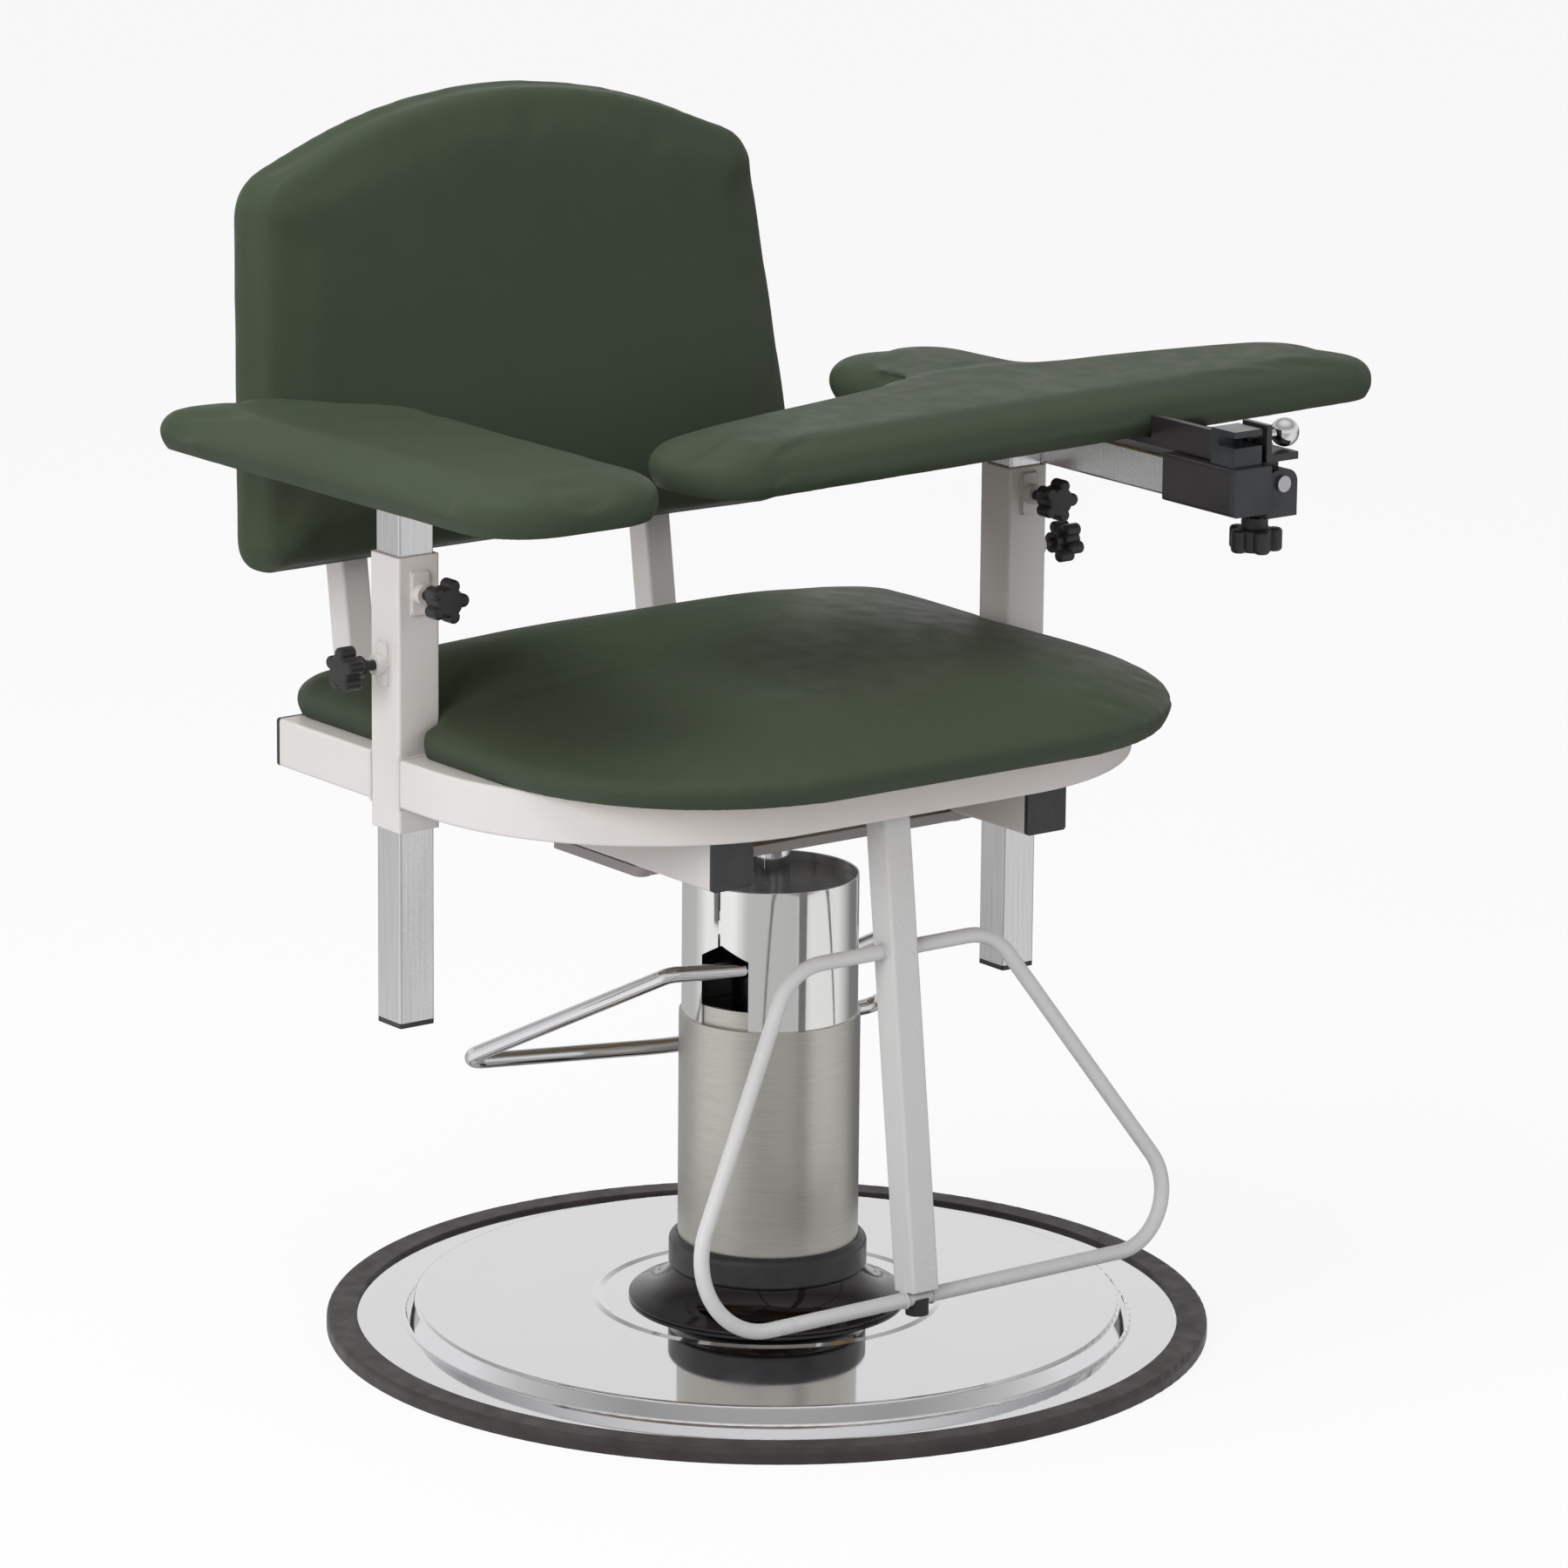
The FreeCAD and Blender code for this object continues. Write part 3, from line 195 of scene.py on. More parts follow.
def vinyl(name, colour, worn):
    """Upholstery vinyl: fine pressed grain, faint blotches, lighter worn edges."""
    mat, shader = blank_material(name, colour, roughness=0.5)
    shader.inputs["Specular IOR Level"].default_value = 0.17
    grain = add_node(mat, "ShaderNodeTexVoronoi", Scale=620.0, feature="SMOOTH_F1")
    grain.inputs["Smoothness"].default_value = 0.6
    link(mat, coordinates(mat), grain.inputs["Vector"])
    deep = bump(mat, shader, grain.outputs["Distance"], strength=0.2, distance=0.0005)
    waves = noise(mat, scale=11.0, detail=2.0)
    soft = bump(mat, shader, waves, strength=0.03, distance=0.006, below=deep)
    pores = noise(mat, scale=1900.0, detail=2.0)
    bump(mat, shader, pores, strength=0.1, distance=0.0002, below=soft)
    blotch = spread(mat, noise(mat, scale=5.0, detail=4.0), low=0.0, high=1.0)
    mix = tint(mat, shader, blotch, scaled(colour, 0.94), scaled(colour, 1.07))
    edges = add_node(mat, "ShaderNodeMix", data_type="RGBA")
    link(mat, mix.outputs[mix_result], edges.inputs[mix_first])
    edges.inputs[mix_second].default_value = worn
    worn_share = spread(mat, edge_share(mat), low=0.0, high=0.1, from_low=0, from_high=1)
    link(mat, worn_share, edges.inputs[0])
    link(mat, edges.outputs[mix_result], shader.inputs["Base Color"])
    vary_roughness(mat, shader, noise(mat, scale=40.0, detail=3.0), low=0.44, high=0.56)
    return mat


def painted(name, colour, roughness):
    """Sprayed paint: orange peel, rounded edges, and painted shade that darkens the corners."""
    mat, shader = blank_material(name, colour, roughness)
    shader.inputs["Coat Weight"].default_value = 0.15
    shader.inputs["Coat Roughness"].default_value = 0.2
    peel = 0.06
    fine = bump(mat, shader, noise(mat, scale=420.0, detail=2.0), strength=peel, distance=0.0006,
                below=soft_edge(mat, radius=0.0012))
    bump(mat, shader, noise(mat, scale=60.0, detail=1.0), strength=peel, distance=0.0015, below=fine)
    # Painted shade: ambient occlusion darkens the paint colour in corners and crevices, more in some
    # places than others by a noise.
    corners = add_node(mat, "ShaderNodeAmbientOcclusion", Distance=0.02, samples=6)
    shade = spread(mat, corners.outputs["AO"], low=1.0, high=0.0, from_low=0.35, from_high=0.9)
    painted_corner_shade = add_node(mat, "ShaderNodeMath", operation="MULTIPLY")
    link(mat, shade, painted_corner_shade.inputs[0])
    uneven = spread(mat, noise(mat, scale=25.0, detail=3.0), low=0.5, high=1.0)
    link(mat, uneven, painted_corner_shade.inputs[1])
    tint(mat, shader, painted_corner_shade.outputs[0], colour, scaled(colour, 0.86))
    vary_roughness(mat, shader, noise(mat, scale=30.0, detail=3.0),
                   low=roughness - 0.05, high=roughness + 0.07)
    return mat


def polished(name, colour, roughness):
    """Plated metal: bright, with faint smears and a hint of waviness."""
    mat, shader = blank_material(name, colour, roughness, metallic=1.0)
    smear = noise(mat, scale=22.0, detail=5.0, stretch=(1, 1, 1.6))
    vary_roughness(mat, shader, smear, low=roughness, high=roughness + 0.05)
    bump(mat, shader, noise(mat, scale=9.0, detail=1.0), strength=0.03, distance=0.002)
    return mat


def brushed(name, colour, roughness, stretch, depth=0.1):
    """Metal with fine parallel lines; the axes with large stretch run across them."""
    mat, shader = blank_material(name, colour, roughness, metallic=1.0)
    lines = noise(mat, scale=900.0, detail=3.0, stretch=stretch)
    bump(mat, shader, lines, strength=depth, distance=0.0003)
    vary_roughness(mat, shader, lines, low=roughness - 0.06, high=roughness + 0.1)
    streaks = spread(mat, noise(mat, scale=30.0, detail=4.0, stretch=stretch), low=0.0, high=1.0)
    tint(mat, shader, streaks, colour, scaled(colour, 0.86))
    return mat


def moulded(name, colour, roughness, grain=900.0, depth=0.12):
    """Moulded plastic or rubber with a fine texture."""
    mat, shader = blank_material(name, colour, roughness)
    bump(mat, shader, noise(mat, scale=grain, detail=2.0), strength=depth, distance=0.0003,
         below=soft_edge(mat, radius=0.0009))
    blotch = spread(mat, noise(mat, scale=45.0, detail=4.0), low=0.0, high=1.0)
    tint(mat, shader, blotch, colour, scaled(colour, 1.5, lift=0.004))
    vary_roughness(mat, shader, noise(mat, scale=60.0, detail=3.0),
                   low=roughness - 0.06, high=roughness + 0.1)
    return mat


def plywood(name):
    """Birch plywood with long grain."""
    mat, shader = blank_material(name, linear(196, 160, 112), roughness=0.62)
    grain = noise(mat, scale=26.0, detail=5.0, stretch=(1, 9, 9))
    shade = spread(mat, grain, low=0.0, high=1.0)
    tint(mat, shader, shade, linear(206, 172, 124), linear(160, 120, 78))
    bump(mat, shader, grain, strength=0.15, distance=0.0006)
    return mat


# How much finer brushed lines are along each axis of a piece
lines_round_column = (1, 1, 40)
lines_along_arm = (14, 14, 0.4)
lines_on_pump = (1, 1, 12)
lines_on_zinc = (4, 4, 4)

# Each material slot of the record: its name, colour and roughness
materials = {
    "green_vinyl": vinyl("green_vinyl", linear(58, 67, 52), worn=linear(76, 88, 68)),
    "frame_paint": painted("frame_paint", linear(210, 206, 203), 0.34),
    "footrest_paint": painted("footrest_paint", linear(203, 203, 202), 0.3),
    "mount_paint": painted("mount_paint", linear(150, 145, 142), 0.36),
    "black_paint": painted("black_paint", linear(36, 32, 34), 0.3),
    "base_chrome": polished("base_chrome", linear(236, 236, 238), 0.03),
    # flange_chrome has a dark base colour that stands for the dark surroundings it reflects: a
    # painted reflection.
    "flange_chrome": polished("flange_chrome", linear(62, 60, 59), 0.05),
    "shroud_chrome": polished("shroud_chrome", linear(232, 232, 230), 0.05),
    "rod_chrome": polished("rod_chrome", linear(222, 222, 224), 0.05),
    "ball_chrome": polished("ball_chrome", linear(228, 228, 230), 0.08),
    "brushed_column": brushed("brushed_column", linear(202, 199, 192), 0.34, lines_round_column),
    "arm_aluminium": brushed("arm_aluminium", linear(222, 221, 221), 0.22, lines_along_arm,
                             depth=0.05),
    "pump_steel": brushed("pump_steel", linear(112, 112, 112), 0.4, lines_on_pump),
    "zinc": brushed("zinc", linear(190, 190, 194), 0.32, lines_on_zinc),
    "cast_base": moulded("cast_base", linear(62, 62, 64), 0.75, grain=260.0, depth=0.4),
    "ring_rubber": moulded("ring_rubber", linear(46, 41, 40), 0.5, grain=700.0),
    "bumper_rubber": moulded("bumper_rubber", linear(36, 36, 36), 0.6),
    "dark_plastic": moulded("dark_plastic", linear(34, 34, 36), 0.32),
    "knob_plastic": moulded("knob_plastic", linear(26, 27, 28), 0.4, grain=1400.0, depth=0.2),
    "gloss_black": moulded("gloss_black", linear(30, 33, 37), 0.14, grain=300.0, depth=0.03),
    "washer_plastic": moulded("washer_plastic", linear(80, 80, 80), 0.5),
    "plywood": plywood("plywood"),
}
back_lining = vinyl("back_lining", linear(40, 46, 38), worn=linear(56, 64, 52))


def dress_nodes():
    """Every node takes the material of its slot; the back's board is lined with vinyl."""
    for part in frame["record"]["subparts"]:
        piece = nodes[part["node"]]
        piece.data.materials.clear()
        lined = part["node"] == "back_board"
        piece.data.materials.append(back_lining if lined else materials[part["material_slot"]])


# Outlines of the cushions

arc_points = 20
line_points = 26
least_round_share = 0.25


def ring(corners, rounds, inset, height, crown_round=0.0, slide=0.0):
    """One closed outline, drawn in by inset and slid back by a share of it.

    Every ring of the same corners has the same count of points.
    """
    count = len(corners)
    points = []
    shifted = []
    radii = []
    for i, corner in enumerate(corners):
        before = (corner - corners[i - 1]).normalized()
        after = (corners[(i + 1) % count] - corner).normalized()
        first = Vector((-before.y, before.x))
        second = Vector((-after.y, after.x))
        shifted.append(corner + (first + second) * (inset / (1 + first.dot(second))))
        convex = before.x * after.y - before.y * after.x > 0
        smaller = max(rounds[i] - inset, rounds[i] * least_round_share, min(inset, crown_round))
        radii.append(smaller if convex else rounds[i] + inset)
    ends = []
    for i, corner in enumerate(shifted):
        before = (shifted[i - 1] - corner).normalized()
        after = (shifted[(i + 1) % count] - corner).normalized()
        half = before.angle(after) / 2
        reach = radii[i] / math.tan(half)
        centre = corner + (before + after).normalized() * (radii[i] / math.sin(half))
        ends.append((corner + before * reach, centre, corner + after * reach))
    for i, (start, centre, stop) in enumerate(ends):
        first = start - centre
        turn = first.angle_signed(stop - centre)
        for step in range(arc_points):
            angle = -turn * step / arc_points
            swung = Matrix.Rotation(angle, 2) @ first
            points.append(centre + swung)
        following = ends[(i + 1) % count][0]
        for step in range(line_points):
            points.append(stop.lerp(following, step / line_points))
    return [(p.x, p.y + inset * slide, height) for p in points]


def linked_piece(name, mesh):
    piece = bpy.data.objects.new(name, mesh)
    bpy.context.scene.collection.objects.link(piece)
    return piece


def stacked(name, rings):
    """A closed mesh through rings of equal counts, capped at both ends."""
    mesh = bpy.data.meshes.new(name)
    shape = bmesh.new()
    rows = [[shape.verts.new(p) for p in r] for r in rings]
    count = len(rows[0])
    for low, high in zip(rows, rows[1:]):
        for i in range(count):
            j = (i + 1) % count
            shape.faces.new((low[i], low[j], high[j], high[i]))
    shape.faces.new(list(reversed(rows[0])))
    shape.faces.new(rows[-1])
    bmesh.ops.triangulate(shape, faces=[f for f in shape.faces if len(f.verts) > 4])
    bmesh.ops.recalc_face_normals(shape, faces=shape.faces)
    shape.to_mesh(mesh)
    shape.free()
    return linked_piece(name, mesh)


# Covers

def apply_modifiers(piece):
    graph = bpy.context.evaluated_depsgraph_get()
    final = bpy.data.meshes.new_from_object(piece.evaluated_get(graph))
    piece.modifiers.clear()
    old = piece.data
    piece.data = final
    bpy.data.meshes.remove(old)


def remesh(piece, voxel):
    modifier = piece.modifiers.new("voxels", "REMESH")
    modifier.mode = "VOXEL"
    modifier.voxel_size = voxel
    apply_modifiers(piece)


def cut_away(piece, tool):
    """Takes the tool's shape out of the piece, and removes the tool."""
    cut = piece.modifiers.new("cut", "BOOLEAN")
    cut.operation = "DIFFERENCE"
    cut.solver = "EXACT"
    cut.object = tool
    apply_modifiers(piece)
    bpy.data.objects.remove(tool)


cloth_values = {
    "quality": 4,
    "mass": 0.3,
    "tension_stiffness": 18,
    "compression_stiffness": 18,
    "shear_stiffness": 8,
    "bending_stiffness": 1.2,
    "use_pressure": True,
}
cloth_frames = 20


def inflate(piece, pressure, cap, pinned):
    """Lets the cover swell like filled cloth.

    pinned tells how firmly each place stays, from 0 to 1, and cap how far any moves.
    """
    start = [v.co.copy() for v in piece.data.vertices]
    group = piece.vertex_groups.new(name="held")
    for i, place in enumerate(start):
        hold = pinned(place)
        if hold > 0:
            group.add([i], hold, "REPLACE")
    cloth = piece.modifiers.new("cloth", "CLOTH")
    settings = cloth.settings
    for key, value in cloth_values.items():
        setattr(settings, key, value)
    settings.uniform_pressure_force = pressure
    settings.vertex_group_mass = "held"
    settings.effector_weights.gravity = 0.0
    cloth.collision_settings.use_collision = False
    scene = bpy.context.scene
    for step in range(1, cloth_frames + 1):
        scene.frame_set(step)
    apply_modifiers(piece)
    scene.frame_set(1)
    for place, vertex in zip(start, piece.data.vertices):
        move = vertex.co - place
        limit = cap * (1 - pinned(place))
        if move.length > limit:
            vertex.co = place + move * (limit / move.length)
    piece.vertex_groups.clear()


def smooth_cover(piece):
    """Evens out the voxel steps."""
    rounds = 2
    shape = bmesh.new()
    shape.from_mesh(piece.data)
    for _ in range(rounds):
        bmesh.ops.smooth_vert(shape, verts=shape.verts, factor=0.5, use_axis_x=True,
                              use_axis_y=True, use_axis_z=True)
    shape.to_mesh(piece.data)
    shape.free()


def shade_smooth(mesh):
    for polygon in mesh.polygons:
        polygon.use_smooth = True


def subdivide(piece):
    modifier = piece.modifiers.new("finer", "SUBSURF")
    modifier.levels = 1
    modifier.render_levels = 1
    apply_modifiers(piece)
    shade_smooth(piece.data)


pocket_room = 0.0003
pocket_below = 0.02


def hollow_for_board(piece, corners, rounds, rim):
    """Cuts the pocket that the board fills, with a little room round it."""
    inset = rim - pocket_room
    rings = [ring(corners, rounds, inset, z) for z in (-pocket_below, board_thick + pocket_room)]
    cut_away(piece, stacked("pocket_tool", rings))


def extent(piece, axis):
    values = [v.co[axis] for v in piece.data.vertices]
    return min(values), max(values)


def fit(piece, sides, top):
    """Stretches a slightly shrunken cover back to its measured outline and height."""
    for axis, (low, high) in enumerate(sides):
        start, stop = extent(piece, axis)
        scale = (high - low) / (stop - start)
        for vertex in piece.data.vertices:
            vertex.co[axis] = low + (vertex.co[axis] - start) * scale
    scale = top / extent(piece, 2)[1]
    for vertex in piece.data.vertices:
        vertex.co.z = max(vertex.co.z * scale, 0.0)


# The lowest part of a cover's height is held, and the hold fades out above it
foot_share = 0.3
foot_hold = 1.35


def upholster(name, corners, rounds, levels, make, rim, crown_round=0.0, slide=0.0,
              carve=None, hold=None):
    """A crowned cushion lying flat on z = 0, with a pocket underneath for its board.

    levels are heights and insets, make its voxel size, pressure and cap.
    """
    voxel, pressure, cap = make
    spare = (-voxel, levels[0][1])
    rings = [ring(corners, rounds, inset, z, crown_round, slide) for z, inset in [spare] + levels]
    piece = stacked(name, rings)
    sides = [extent(piece, 0), extent(piece, 1)]
    if carve is not None:
        carve(piece)
    remesh(piece, voxel)
    smooth_cover(piece)
    thick = levels[-1][0]

    def pinned(place):
        foot = max(0.0, min(1.0, foot_hold - place.z / (thick * foot_share)))
        return max(foot, hold(place) if hold is not None else 0.0)

    inflate(piece, pressure, cap, pinned)
    smooth_cover(piece)
    subdivide(piece)
    fit(piece, sides, thick)
    hollow_for_board(piece, corners, rounds, rim)
    piece.data.materials.clear()
    piece.data.materials.append(materials["green_vinyl"])
    return piece


# Voxel size, pressure and the farthest that any point swells
seat_make = (0.006, 4.0, 0.007)
back_make = (0.006, 4.0, 0.006)
pad_make = (0.004, 3.0, 0.004)

# How far an inset share of 1 draws a ring in, and the slack left for the swell
seat_soft = 0.03
back_soft = 0.022
pad_soft = 0.01
slack = 0.0005

# Shares of the thickness, each with its inset share
seat_shares = [(0.0, 0.2), (0.06, 0.1), (0.14, 0.03), (0.24, 0.0), (0.32, 0.05), (0.38, 0.2),
               (0.45, 0.5), (0.52, 0.93), (0.6, 1.47), (0.68, 2.07), (0.77, 2.87), (0.86, 3.7),
               (0.93, 4.5), (1.0, 5.4)]
back_shares = [(0.0, 0.45), (0.06, 0.26), (0.14, 0.12), (0.24, 0.03), (0.4, 0.0), (0.68, 0.0),
               (0.8, 0.03), (0.87, 0.12), (0.93, 0.32), (0.97, 0.62), (1.0, 1.3)]
pad_shares = [(0.0, 0.66), (0.08, 0.42), (0.18, 0.2), (0.3, 0.05), (0.42, 0.0), (0.54, 0.06),
              (0.65, 0.22), (0.75, 0.5), (0.84, 0.88), (0.91, 1.35), (0.96, 1.95), (1.0, 3.0)]


def levels_from(shares, thick, soft):
    """Heights and insets of a cushion's rings, a little slack so that it can swell."""
    return [((thick - slack) * z, slack + soft * inset) for z, inset in shares]


seat_half = 0.3
seat_front_y = -0.246
seat_rear_y = 0.245
seat_rounds = [0.19, 0.19, 0.042, 0.042]
seat_crown_round = 0.08
seat_crown_slide = 0.46

# Notches in the seat's sides for the posts
notch_reach = tube_half + 0.0025
notch_x = post_x - tube_half - 0.004
notch_deep = 0.06
notch_tall = 0.3
notch_held_x = tube_half + 0.008
notch_held_y = notch_reach + 0.012


def carve_notches(piece):
    for side in (-1, 1):
        bpy.ops.mesh.primitive_cube_add(size=1)
        tool = bpy.context.object
        tool.scale = (notch_deep, 2 * notch_reach, notch_tall)
        tool.location = (side * (notch_x + notch_deep / 2), post_y, 0)
        cut_away(piece, tool)


def hold_notches(place):
    near = abs(abs(place.x) - post_x) < notch_held_x and abs(place.y - post_y) < notch_held_y
    return 1.0 if near else 0.0


def seat_cushion():
    corners = [Vector((-seat_half, seat_front_y)), Vector((seat_half, seat_front_y)),
               Vector((seat_half, seat_rear_y)), Vector((-seat_half, seat_rear_y))]
    levels = levels_from(seat_shares, seat_thick, seat_soft)
    piece = upholster("seat_cover", corners, seat_rounds, levels, seat_make, board_rim,
                      crown_round=seat_crown_round, slide=seat_crown_slide,
                      carve=carve_notches, hold=hold_notches)
    piece.data.transform(Matrix.Translation((0, 0, seat_base)))
    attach(piece, "seat")
    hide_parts("seat_cushion")


back_half_low = 0.27
back_half_high = 0.243
back_shoulder = 0.309
back_peak = 0.404
back_rounds = [0.022, 0.022, 0.042, 0.48, 0.042]


def back_cushion():
    corners = [Vector((-back_half_low, 0)), Vector((back_half_low, 0)),
               Vector((back_half_high, back_shoulder)), Vector((0, back_peak)),
               Vector((-back_half_high, back_shoulder))]
    levels = levels_from(back_shares, back_thick, back_soft)
    piece = upholster("back_cover", corners, back_rounds, levels, back_make, board_rim)
    upright = Matrix.Rotation(math.pi / 2 - back_lean, 4, "X")
    piece.data.transform(Matrix.Translation(back_foot) @ upright)
    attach(piece, "seat")
    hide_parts("back_cushion")


# The left pad's outline, and where its inner rear corner is cut off
left_pad_outer = -post_x - 0.07
left_pad_inner = -post_x + 0.115
left_pad_front = -0.14
left_pad_rear = 0.323
left_pad_taper = 0.011
left_pad_cut_x = -post_x + 0.022
left_pad_cut_y = 0.215
left_pad_rounds = [0.06, 0.06, 0.1, 0.038, 0.02]


def left_pad_cushion():
    corners = [Vector((left_pad_outer + left_pad_taper, left_pad_front)),
               Vector((left_pad_inner, left_pad_front)), Vector((left_pad_inner, left_pad_cut_y)),
               Vector((left_pad_cut_x, left_pad_rear)), Vector((left_pad_outer, left_pad_rear))]
    levels = levels_from(pad_shares, pad_thick, pad_soft)
    piece = upholster("left_pad_cover", corners, left_pad_rounds, levels, pad_make, pad_rim)
    piece.data.transform(Matrix.Translation((0, 0, left_pad_base)))
    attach(piece, "left_arm")
    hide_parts("left_pad_cushion")


# The T-shaped right pad: its corners and rounds are shares of its half length
right_pad_half = 0.356
right_pad_yaw = math.radians(3.0)
right_pad_centre = Vector((0.23, 0.002))
right_corner_shares = [(-1.0, -0.224), (1.0, -0.218), (1.0, 0.118), (0.42, 0.26), (0.331, 0.272),
                       (0.314, 0.616), (-0.085, 0.616), (-0.05, 0.283), (-0.252, 0.258),
                       (-1.0, 0.106)]
right_round_shares = [0.134, 0.134, 0.162, 0.168, 0.062, 0.157, 0.14, 0.042, 0.252, 0.157]


def right_pad_cushion():
    yaw = Matrix.Rotation(right_pad_yaw, 2)
    corners = [right_pad_centre + yaw @ (Vector(c) * right_pad_half) for c in right_corner_shares]
    rounds = [share * right_pad_half for share in right_round_shares]
    levels = levels_from(pad_shares, pad_thick, pad_soft)
    piece = upholster("right_pad_cover", corners, rounds, levels, pad_make, pad_rim)
    piece.data.transform(Matrix.Translation((0, 0, right_pad_base)))
    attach(piece, "flip_pad")
    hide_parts("right_pad_cushion")


# Weld beads

bead_sides = 8
ripple_length = 0.0017
ripple_steps = 4
ripple_share = 0.16


def bead_rings(corners, radius):
    """A rippled bead along a closed path."""
    rings = []
    count = len(corners)
    middle = sum(corners, Vector()) / count
    travelled = 0.0
    for i, start in enumerate(corners):
        stop = corners[(i + 1) % count]
        length = (stop - start).length
        along = (stop - start) / length
        steps = max(1, round(length / (ripple_length / ripple_steps)))
        for step in range(steps):
            place = start.lerp(stop, step / steps)
            phase = (travelled + length * step / steps) / ripple_length
            thick = radius * (1 + ripple_share * math.sin(2 * math.pi * phase))
            outward = (place - middle)
            outward = (outward - along * outward.dot(along)).normalized()
            other = along.cross(outward)
            turns = (2 * math.pi * k / bead_sides for k in range(bead_sides))
            rings.append([place + (outward * math.cos(a) + other * math.sin(a)) * thick
                          for a in turns])
        travelled += length
    return rings


def welds(name, body, slot, loops):
    """All the beads of one body, as one piece: each is a closed path and a radius."""
    shape = bmesh.new()
    for corners, radius in loops:
        rows = [[shape.verts.new(p) for p in r] for r in bead_rings(corners, radius)]
        for i, row in enumerate(rows):
            after = rows[(i + 1) % len(rows)]
            for k in range(bead_sides):
                j = (k + 1) % bead_sides
                shape.faces.new((row[k], row[j], after[j], after[k]))
    bmesh.ops.recalc_face_normals(shape, faces=shape.faces)
    mesh = bpy.data.meshes.new(name)
    shape.to_mesh(mesh)
    shape.free()
    shade_smooth(mesh)
    mesh.materials.append(materials[slot])
    piece = linked_piece(name, mesh)
    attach(piece, body)


def square_loop(centre, first, second):
    """The corners of a rectangle round centre; first and second are its half sides."""
    centre = Vector(centre)
    first = Vector(first)
    second = Vector(second)
    return [centre - first - second, centre + first - second, centre + first + second,
            centre - first + second]


round_loop_points = 20


def round_loop(centre, radius):
    """A circle round a rod that runs along X."""
    turns = (2 * math.pi * k / round_loop_points for k in range(round_loop_points))
    return [Vector(centre) + Vector((0, math.cos(a), math.sin(a))) * radius for a in turns]


frame_mid_z = 0.47405
rail_end_y = 0.195
upright_foot = (0.15, 0.215, 0.433)
frame_bead = 0.0016

# Bosses of the clamp knobs: half width, half height and their heights on the posts
boss_half_x = 0.0075
boss_half_z = 0.017
boss_bead = 0.0009
left_front_boss_z, right_front_boss_z = 0.621, 0.628
left_side_boss_z, right_side_boss_z = 0.565, 0.579

# The footrest's post leans forward, and the loop meets it at two heights
rest_lean = math.radians(6.8)
rest_post_x = -0.0085
rest_top_y = -0.158
rest_top_z = 0.455
rest_loop_heights = (0.346, 0.075)
rest_rod = 0.0062
rest_top_bead = 0.0015
rest_loop_bead = 0.0012

rail_joint_z = 0.666025
rail_bead = 0.0011
left_plate_bead_z = 0.6915
left_plate_bead = 0.0006


def on_rest(height):
    """The footrest's centre line at a height."""
    return (rest_post_x, rest_top_y - (rest_top_z - height) * math.tan(rest_lean), height)


def frame_welds():
    loops = []
    tube_x, tube_z = (tube_half, 0, 0), (0, 0, tube_half)
    foot_x, foot_y, foot_z = upright_foot
    for side in (-1, 1):
        for y in (post_y - tube_half, post_y + tube_half):
            loops.append((square_loop((side * post_x, y, frame_mid_z), tube_x, tube_z), frame_bead))
        rail_end = (side * (post_x - tube_half), rail_end_y, frame_mid_z)
        loops.append((square_loop(rail_end, (0, small_half, 0), tube_z), frame_bead))
        loops.append((square_loop((side * foot_x, foot_y, foot_z), (light_half, 0, 0),
                                  (0, 0, light_half)), frame_bead))
    boss_z = (0, 0, boss_half_z)
    for x, z in ((-post_x, left_front_boss_z), (post_x, right_front_boss_z)):
        front = (x, post_y - tube_half, z)
        loops.append((square_loop(front, (boss_half_x, 0, 0), boss_z), boss_bead))
    for side, z in ((-1, left_side_boss_z), (1, right_side_boss_z)):
        outside = (side * (post_x + tube_half), post_y, z)
        loops.append((square_loop(outside, (0, boss_half_x, 0), boss_z), boss_bead))
    welds("frame_welds", "seat", "frame_paint", loops)


def footrest_welds():
    top = square_loop(on_rest(rest_top_z), (light_half, 0, 0), (0, light_half, 0))
    loops = [(top, rest_top_bead)]
    for height in rest_loop_heights:
        for side in (-1, 1):
            x, y, z = on_rest(height)
            loops.append((round_loop((x + side * light_half, y, z), rest_rod), rest_loop_bead))
    welds("footrest_welds", "seat", "footrest_paint", loops)


def arm_welds():
    rail = square_loop((post_x + small_half, post_y, rail_joint_z), (0, small_half, 0),
                       (0, 0, small_half))
    welds("right_arm_weld", "right_arm", "arm_aluminium", [(rail, rail_bead)])
    plate = square_loop((-post_x, post_y, left_plate_bead_z), (small_half, 0, 0),
                        (0, small_half, 0))
    welds("left_arm_weld", "left_arm", "arm_aluminium", [(plate, left_plate_bead)])


# Stage, lights and camera

def grey_ramp(tree, value, stops):
    ramp = tree.nodes.new("ShaderNodeValToRGB")
    elements = ramp.color_ramp.elements
    for position, level in stops[1:-1]:
        elements.new(position)
    for element, (position, level) in zip(elements, stops):
        element.position = position
        element.color = (level, level, level, 1)
    tree.links.new(value, ramp.inputs[0])
    return ramp.outputs["Color"]


# Brightness round the studio, by shares of a turn that starts behind the chair's right rear
studio_bands = [(0.0, 0.4), (0.19, 0.5), (0.25, 0.95), (0.37, 1.0), (0.42, 0.48), (0.59, 0.48),
                (0.65, 0.88), (0.77, 0.85), (0.85, 0.14), (0.94, 0.12), (1.0, 0.4)]
studio_turn = math.radians(127.0)

# Brightness of the room that shiny surfaces see, from straight down to straight up
room_heights = [(0.0, 0.8), (0.3, 0.8), (0.44, 0.56), (0.6, 0.34), (0.78, 0.5), (1.0, 0.85)]
room_grey = (0.38, 0.38, 0.39, 1)
white = (1, 1, 1, 1)

floor_half = 30.0
floor_grey = (0.72, 0.72, 0.72, 1)
floor_white_share = 0.9
floor_bands_share = 0.85


